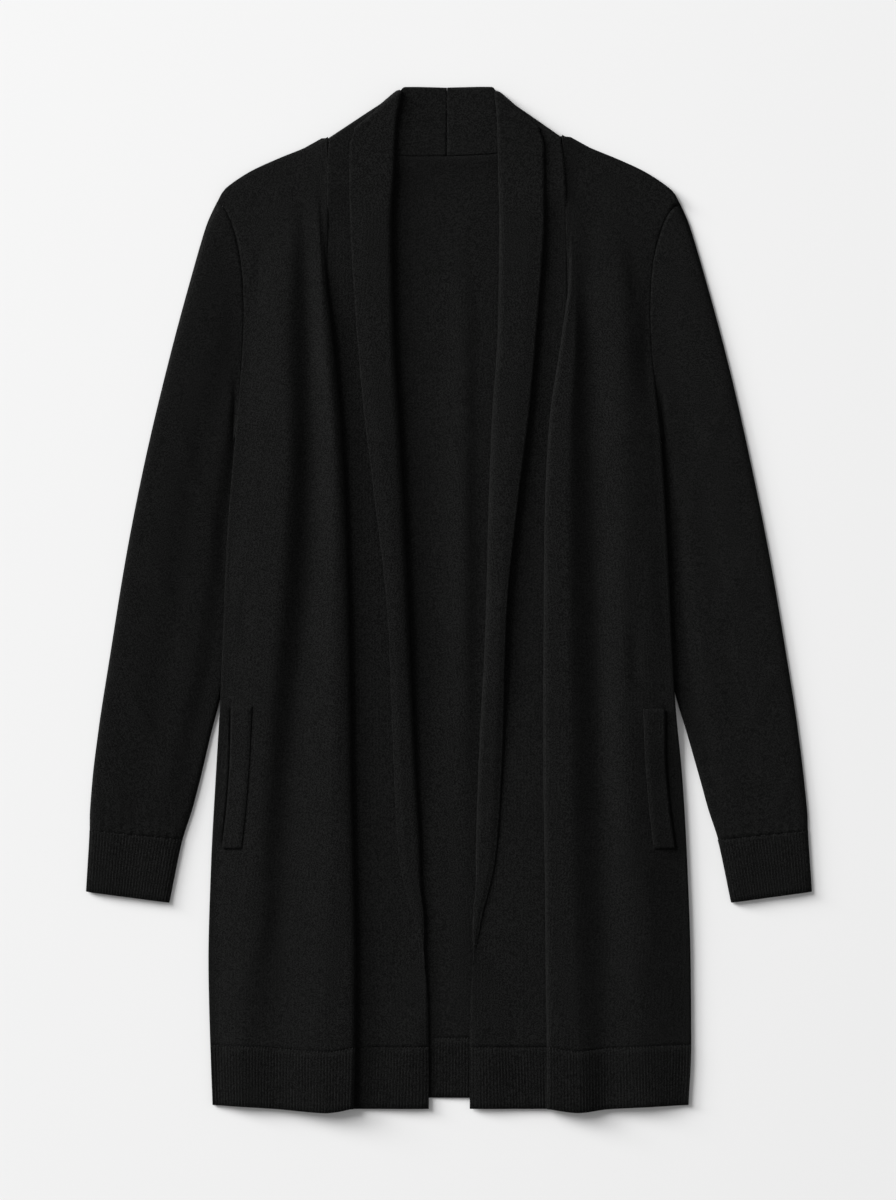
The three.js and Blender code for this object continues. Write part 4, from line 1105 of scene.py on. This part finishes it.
def band_knots(side, r):
    """A section of the front band, whose seam edge follows the front's."""
    edge = skin(FRONT_KNOTS[side], [0], np.linspace(0, HEM_END_ROW, 400))[:, 0]
    seam = np.interp(-r["y"], -edge[:, 1], np.abs(edge[:, 0])) - BAND_SEAM_GAP
    places = [(seam, STAND_LEVEL), (r["stand"], STAND_LEVEL + STAND_RISE)]
    places += [(r[k + "X"], r[k + "Z"]) for k in ("in", "roll", "out", "fall", "free")]
    return [(x, r["y"], z) for x, z in places]


BAND_SKINS = {}
for side in (LEFT, RIGHT):
    sections = [neck_knots(named(NECK_COLUMNS, row), -90) for row in BACK_NECK[side]]
    sections += [neck_knots(named(NECK_COLUMNS, NECK_FOLD[side]), tilt) for tilt in FOLD_TURNS]
    sections += [neck_knots(named(NECK_COLUMNS, row), 90) for row in FRONT_NECK[side]]
    sections += [band_knots(side, named(BAND_COLUMNS, row)) for row in BAND_ROWS[side]]
    BAND_SKINS[side] = np.array(sections, float) * (side, 1, 1)

BAND_END_ROW = len(BAND_SKINS[LEFT]) - 1
BAND_HEM_ROW = BAND_END_ROW - 1
print("knots of a band:", BAND_SKINS[LEFT].shape)

# %% [markdown]
# The turn at the neck is tight, so its rows are closer than those down the front. Towards
# the hem the free edge is pressed thin, and in the photograph it fades into the cloth under
# it, so the wall narrows there. An edge of full thickness would draw a hard line.

# %% Shawl collar and front bands
BAND_EDGE_KNOT = 6
BAND_MEASURED_ROW, BAND_MEASURED_COLUMN, BAND_HEM_COLUMN = 13, 1, 3
BAND_STEP, NECK_STEP = 1.8, 2.0
NECK_LAST_ROW = 9
WORN_BY = 1.0
WORN_KNOTS, WORN_ROWS = (5.2, 5.9), (15, 17)


def band(side):
    """A band, from the middle of the back neck to its hem's seam."""
    knots = BAND_SKINS[side]
    end = BAND_HEM_ROW - seam_rows(knots, BAND_HEM_ROW, BAND_HEM_COLUMN)
    across = even_across(knots, BAND_MEASURED_ROW, 0, BAND_EDGE_KNOT, BAND_STEP)
    neck = even_along(knots, BAND_MEASURED_COLUMN, 0, NECK_LAST_ROW, NECK_STEP)
    down = even_along(knots, BAND_MEASURED_COLUMN, NECK_LAST_ROW, end, ALONG_STEP)
    along = np.concatenate([neck, down[1:]])
    grid = skin(knots, across, along)
    worn = smoothstep(*WORN_KNOTS, across)[None, :] * smoothstep(*WORN_ROWS, along)[:, None]
    name = f"band_{SIDE_NAME[side]}_cloth"
    report(name, grid)
    cloth_wall(name, grid, BAND_WALL - WORN_BY * worn, side, JERSEY)


for side in (LEFT, RIGHT):
    band(side)

# %% [markdown]
# The ribbing is a 1 by 1 rib: one column of stitches stands out, the next sinks in. It
# could be bump alone, but ribs nearly 3 mm apart show at the edge, so they are shaped in
# the cloth. Each ribbed piece carries on from the skin of the panel above it.

# %% Ribbed hems and cuffs
RIB_PITCH = 2.9
RIB_RELIEF = 0.28
RIB_ROUNDING = 0.8
RIB_STEPS = 8
RIB_ROWS = 12
UNDER_KNOTS = (6.6, 7.4)


def ribs(grid, sunk=0.0):
    """Relief x (a raised cosine of the distance across, to the power RIB_ROUNDING, less sunk)."""
    wave = 0.5 + 0.5 * np.cos(2 * np.pi * lengths(grid, 1)[:1] / RIB_PITCH)
    return RIB_RELIEF * np.repeat(wave**RIB_ROUNDING - sunk, len(grid), axis=0)


def ribbed(name, knots, start_row, end_row, start, end, face, loop=False):
    """A ribbed wall over the last rows of a skin. Where a tube rests, its ribs only sink in."""
    gap = seam_rows(knots, start_row, (start + end) / 2)
    across = even_across(knots, start_row, start, end, RIB_PITCH / RIB_STEPS, loop)
    across = across[:-1] if loop else across
    along = np.linspace(start_row + gap, end_row, RIB_ROWS)
    grid = skin(knots, across, along, loop)
    report(name, grid, loop)
    under = smoothstep(*UNDER_KNOTS, across)[None, :] if loop else 0.0
    cloth_wall(name, grid, RIB_WALL, face, RIBBING, loop=loop, raised=ribs(grid, under))


for side in (LEFT, RIGHT):
    name = SIDE_NAME[side]
    ribbed(f"hem_front_{name}_cloth", FRONT_KNOTS[side], HEM_SEAM_ROW, HEM_END_ROW,
           0, FRONT_EDGE_KNOT, -side)
    ribbed(f"cuff_{name}_cloth", SLEEVE_SKINS[side], CUFF_SEAM_RING, CUFF_END_RING,
           0, SLEEVE_KNOTS, side, loop=True)
    ribbed(f"hem_band_{name}_cloth", BAND_SKINS[side], BAND_HEM_ROW, BAND_END_ROW,
           0, BAND_EDGE_KNOT, side)
ribbed("hem_back_cloth", BACK_KNOTS, HEM_SEAM_ROW, HEM_END_ROW, 0, BACK_EDGE_KNOT, -1)

# %% [markdown]
# A welt is a narrow strip over a slanted pocket mouth. It is made from the front's own
# points, moved out by its thickness, so it follows every fold under it. A shrinkwrap could
# lay it on too, but would not keep its width. Its outer edge is the mouth and stands a
# little open; its inner edge is stitched down, so the wall thins out to it.

# %% Pocket welts
WELT_ROWS = {
    LEFT: [
        (-97.5, 199.5, 180.8), (-141, 200.4, 182.8), (-184, 203, 185.8), (-228, 208.2, 190.6),
    ],
    RIGHT: [
        (-100, 197.2, 177.5), (-141, 197.4, 179.2), (-184, 200.6, 182.3), (-228, 206.6, 187.2),
    ],
}
WELT_GAP = 0.1
WELT_COLUMNS = 14
WELT_LINES = 60
MOUTH_LIFT = 0.5
SEWN_EDGE_WALL = 0.45
SEWN_SHARE = 0.22
BASE_KNOTS = (5.5, FRONT_EDGE_KNOT - 0.02, 240)
BASE_ROWS = (5.2, 9.2, 400)
BASE_FIRST_COLUMN = 100
BASE_WELT_COLUMN = 170


def between(values, reach, wanted):
    """The columns of values, given at the distances reach, at the wanted distances."""
    return np.stack([np.interp(wanted, reach, column) for column in values.T], 1)


def welt(side):
    """For each line down the pocket, the front's points between the two edges, moved out."""
    base = front_grid(side, np.linspace(*BASE_KNOTS), np.linspace(*BASE_ROWS))
    normal = -side * normals_of(base)
    ys, outer, inner = curve_through(WELT_ROWS[side], np.linspace(0, 3, WELT_LINES)).T
    share = np.linspace(0, 1, WELT_COLUMNS)
    wall = SEWN_EDGE_WALL + (WELT_WALL - SEWN_EDGE_WALL) * smoothstep(0, SEWN_SHARE, share)
    middle_y = base[:, BASE_WELT_COLUMN, 1]
    past = slice(BASE_FIRST_COLUMN, None)
    lines = []
    for y, x_out, x_in in zip(ys, outer, inner):
        row = int(np.argmin(np.abs(middle_y - y)))
        reach = np.abs(base[row, past, 0])
        wanted = x_in + (x_out - x_in) * share
        points = between(base[row, past], reach, wanted)
        out = between(normal[row, past], reach, wanted)
        open_mouth = MOUTH_LIFT * share[:, None] ** 3
        points[:, 1] += y - middle_y[row]
        lines.append(points + out * (BODY_WALL / 2 + WELT_GAP + wall[:, None] / 2 + open_mouth))
    grid = np.array(lines)
    name = f"pocket_welt_{SIDE_NAME[side]}_cloth"
    report(name, grid)
    cloth_wall(name, grid, wall[None, :], -side, JERSEY)


for side in (LEFT, RIGHT):
    welt(side)

# %% [markdown]
# Where ribbing meets jersey the two are linked stitch by stitch, and a row of small loops
# shows along the seam; their pale colour is a painted highlight. Each loop is a tiny closed
# bead, and all the loops of a seam are one mesh, worked out in one go by adding the bead's
# points to every place.

# %% Rows of linking stitches
STITCH_SIZE = (1.5, 0.42)


def bead(rings=5, sides=6):
    """A closed bead of length 1 along its first axis: circles of radius sin, capped by two poles."""
    turn = np.linspace(0, np.pi, rings + 2)[1:-1]
    around = np.linspace(0, 2 * np.pi, sides, endpoint=False)
    x = np.repeat(-np.cos(turn) / 2, sides)
    y = (np.sin(turn)[:, None] * np.cos(around)).ravel()
    z = (np.sin(turn)[:, None] * np.sin(around)).ravel()
    points = np.concatenate([np.stack([x, y, z], 1), [[-0.5, 0, 0], [0.5, 0, 0]]])
    ring = np.arange(sides)
    after = (ring + 1) % sides
    firsts = np.arange(rings - 1)[:, None] * sides
    a, b = firsts + ring, firsts + after
    quads = np.stack([a, b, b + sides, a + sides], axis=2).reshape(-1, 4)
    start, end = rings * sides, rings * sides + 1
    last = (rings - 1) * sides
    caps = [[after[i], i, start] for i in range(sides)]
    caps += [[last + i, last + after[i], end] for i in range(sides)]
    return points, quads.tolist() + [[int(i) for i in cap] for cap in caps]


def stitches(name, places, ways, ups, size=STITCH_SIZE):
    """One mesh of beads: each place plus way x length, side x radius and up x radius."""
    points, faces = bead()
    ways = ways / np.linalg.norm(ways, axis=1, keepdims=True)
    ups = ups - ways * np.sum(ups * ways, axis=1, keepdims=True)
    ups = ups / np.linalg.norm(ups, axis=1, keepdims=True)
    sides = np.cross(ups, ways)
    all_points = (
        places[:, None]
        + ways[:, None] * points[None, :, :1] * size[0]
        + sides[:, None] * points[None, :, 1:2] * size[1]
        + ups[:, None] * points[None, :, 2:] * size[1]
    )
    count = len(points)
    all_faces = [[i + k * count for i in f] for k in range(len(places)) for f in faces]
    mesh = bpy.data.meshes.new(name)
    mesh.from_pydata((all_points.reshape(-1, 3) * MM).tolist(), [], all_faces)
    mesh.uv_layers.new(name="cloth")
    mesh.polygons.foreach_set("use_smooth", np.ones(len(all_faces), bool))
    mesh.update()
    piece = bpy.data.objects.new(name, mesh)
    bpy.context.scene.collection.objects.link(piece)
    # The loops take the thread's paler colours, a painted highlight.
    piece.data.materials.append(THREAD_PAINTED_HIGHLIGHT)
    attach(piece, "root")
    return piece


points, faces = bead()
print("a stitch:", len(points), "points and", len(faces), "faces")

# %% [markdown]
# The loops of ribbing lie across their seam, one to each rib. The band's seam is linked
# with finer loops that lie along it, from the neck down to where the pleat covers it. Round
# the neck they stand higher, because the back's edge rises beside them.

# %% Stitches along every linked seam
STITCH_LIFT = 0.55
LINKED_KNOTS = {"front": (4.6, 9.95), "band": (1.6, 5.95), "cuff": (0.3, 6.7), "back": (6, 10)}
BAND_STITCH_PITCH = 2.6
BAND_STITCH_LIFT = 0.62
BAND_STITCH_SIZE = (1.3, 0.26)
BAND_STITCH_ROWS = (0.3, 12.5, 400)
NECK_STITCH_ROWS = (2.5, 4)
NECK_STITCH_FACTOR = 1.8
SEAM_STRIP = 0.02


def seam_stitches(name, line, normal, pitch=RIB_PITCH, lift=STITCH_LIFT, across_seam=True,
                  size=STITCH_SIZE):
    """Beads along a seam line of points, pitch apart, standing lift above it."""
    steps = np.linalg.norm(np.diff(line, axis=0), axis=1)
    length = np.concatenate([[0], np.cumsum(steps)])
    at = np.arange(pitch / 2, length[-1], pitch)
    places = np.stack([np.interp(at, length, line[:, c]) for c in range(3)], 1)
    ups = np.stack([np.interp(at, length, normal[:, c]) for c in range(3)], 1)
    along = np.gradient(places, axis=0)
    ways = np.cross(ups, along) if across_seam else along
    return stitches(name, places + ups * lift, ways, ups, size)


def skin_line(knots, row, start, end, face, loop=False):
    """Points and normals along one row of a skin."""
    across = np.linspace(start, end, 300)
    grid = skin(knots, across, [row - SEAM_STRIP, row, row + SEAM_STRIP], loop)
    return grid[1], face * normals_of(grid)[1]


for side in (LEFT, RIGHT):
    name = SIDE_NAME[side]
    for piece, knots, row, start, stop, face in (
        (f"hem_front_{name}", FRONT_KNOTS[side], HEM_SEAM_ROW, *LINKED_KNOTS["front"], -side),
        (f"hem_band_{name}", BAND_SKINS[side], BAND_HEM_ROW, *LINKED_KNOTS["band"], side),
        (f"cuff_{name}", SLEEVE_SKINS[side], CUFF_SEAM_RING, *LINKED_KNOTS["cuff"], side),
    ):
        line = skin_line(knots, row, start, stop, face, loop=piece.startswith("cuff"))
        seam_stitches(f"{piece}_stitches", *line)
for side in (LEFT, RIGHT):
    name = SIDE_NAME[side]
    down = np.linspace(*BAND_STITCH_ROWS)
    seam = skin(BAND_SKINS[side], [0, 2 * SEAM_STRIP, 4 * SEAM_STRIP], down)
    past_neck = smoothstep(*NECK_STITCH_ROWS, down)
    factor = NECK_STITCH_FACTOR - (NECK_STITCH_FACTOR - 1) * past_neck
    up = side * normals_of(seam)[:, 0] * factor[:, None]
    seam_stitches(f"band_{name}_stitches", seam[:, 0], up, BAND_STITCH_PITCH,
                      BAND_STITCH_LIFT, across_seam=False, size=BAND_STITCH_SIZE)
line = skin_line(BACK_KNOTS, HEM_SEAM_ROW, *LINKED_KNOTS["back"], -1)
seam_stitches("hem_back_stitches", *line)

# %% [markdown]
# Every piece of cloth is listed with the size it was cut to, all round for a tube, its area,
# and what it lies on; each is attached to the root and its imported solid hidden. The sizes are the
# ones printed above, for a coat of medium size.

# %% The cut of each piece, and what it lies on
CUTS = {
    "back": (0.466, 0.834, 0.337, ["floor"]),
    "hem_back": (0.444, 0.055, 0.0241, ["floor"]),
    "front_left": (0.170, 0.836, 0.110, ["back_cloth"]),
    "front_right": (0.163, 0.838, 0.111, ["back_cloth"]),
    "hem_front_left": (0.169, 0.056, 0.0093, ["hem_back_cloth"]),
    "hem_front_right": (0.162, 0.056, 0.0089, ["hem_back_cloth"]),
    "sleeve_left": (0.443, 0.592, 0.0957, ["floor"]),
    "sleeve_right": (0.441, 0.590, 0.0952, ["floor"]),
    "cuff_left": (0.171, 0.059, 0.0092, ["floor"]),
    "cuff_right": (0.166, 0.059, 0.0090, ["floor"]),
    "band_left": (0.135, 0.947, 0.0917, ["back_cloth", "front_left_cloth"]),
    "band_right": (0.126, 0.944, 0.0933, ["back_cloth", "front_right_cloth"]),
    "hem_band_left": (0.097, 0.056, 0.0054, ["hem_back_cloth"]),
    "hem_band_right": (0.092, 0.056, 0.0051, ["hem_back_cloth"]),
    "pocket_welt_left": (0.019, 0.131, 0.0023, ["front_left_cloth"]),
    "pocket_welt_right": (0.020, 0.129, 0.0024, ["front_right_cloth"]),
}

for name, (width, length, area, rests_on) in CUTS.items():
    piece = PIECES[f"{name}_cloth"]
    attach(piece, "root")
    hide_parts(name)
print("sheets declared:", len(CUTS))

# %% [markdown]
# The coat lies on plain white paper. It is a touch below zero, so that the cloth's flat
# underside and the paper are not in one plane.

# %% Floor
FLOOR_SIZE = 6.0
FLOOR_DROP = 0.0004
PAPER_WHITE = (0.9, 0.9, 0.9, 1)
PAPER_ROUGHNESS = 0.9

floor_mesh = bpy.data.meshes.new("floor")
h = FLOOR_SIZE / 2
corners = [(x, y, -FLOOR_DROP) for x, y in ((-h, -h), (h, -h), (h, h), (-h, h))]
floor_mesh.from_pydata(corners, [], [(0, 1, 2, 3)])
floor = bpy.data.objects.new("floor", floor_mesh)
bpy.context.scene.collection.objects.link(floor)
paper = bpy.data.materials.new("white_paper")
paper.use_nodes = True
surface = paper.node_tree.nodes["Principled BSDF"]
surface.inputs["Base Color"].default_value = PAPER_WHITE
surface.inputs["Roughness"].default_value = PAPER_ROUGHNESS
floor.data.materials.append(paper)
print("floor:", FLOOR_SIZE, "m wide")

# %% [markdown]
# The photograph has soft shadows that fall down and to the right, so the light is large and
# comes from the upper left. A second one, low on the same side, grazes the folds and models
# them. Both are far off, so that the paper is nearly even, and a dim white surround fills in.

# %% Light
WORLD_STRENGTH = 0.29


def lamp(name, place, target, size, power):
    """A round area light at a place, in metres, turned towards its target."""
    data = bpy.data.lights.new(name, "AREA")
    data.shape = "DISK"
    data.size = size
    data.energy = power
    light = bpy.data.objects.new(name, data)
    light.location = place
    way = np.array(target, float) - place
    light.rotation_mode = "QUATERNION"
    light.rotation_quaternion = Vector(way).to_track_quat("-Z", "Y")
    bpy.context.scene.collection.objects.link(light)


lamp("key", place=(-16.8, 12.4, 11.0), target=(0, 0, 0), size=14.5, power=6900)
lamp("low", place=(-20.0, 10.0, 5.0), target=(0, 0, 0), size=6.0, power=3700)

world = bpy.data.worlds.new("studio")
world.use_nodes = True
world.node_tree.nodes["Background"].inputs["Color"].default_value = (1, 1, 1, 1)
world.node_tree.nodes["Background"].inputs["Strength"].default_value = WORLD_STRENGTH
bpy.context.scene.world = world
print("lamps: key and low, with a surround of", WORLD_STRENGTH)

# %% [markdown]
# The photograph was taken from straight above. One photo pixel is 0.92 mm of cloth, which
# gives the camera's width of view, and the coat's middle lies on column 449.5.

# %% Camera
PHOTO_PIXEL = 0.92
PHOTO_WIDE, PHOTO_TALL = 896, 1200
MIDDLE_COLUMN = 449.5
CAMERA_HEIGHT = 3.0
SENSOR = 36
CLIP_END = 50

camera_data = bpy.data.cameras.new("camera")
camera_data.sensor_width = SENSOR
camera_data.lens = SENSOR * CAMERA_HEIGHT / (PHOTO_TALL * PHOTO_PIXEL * MM)
camera_data.clip_end = CLIP_END
camera = bpy.data.objects.new("camera", camera_data)
camera.location = ((PHOTO_WIDE / 2 - MIDDLE_COLUMN) * PHOTO_PIXEL * MM, 0, CAMERA_HEIGHT)
bpy.context.scene.collection.objects.link(camera)
bpy.context.scene.camera = camera
bpy.context.scene.view_settings.view_transform = "Standard"
print("camera:", CAMERA_HEIGHT, "m up, lens", round(camera_data.lens, 1), "mm")
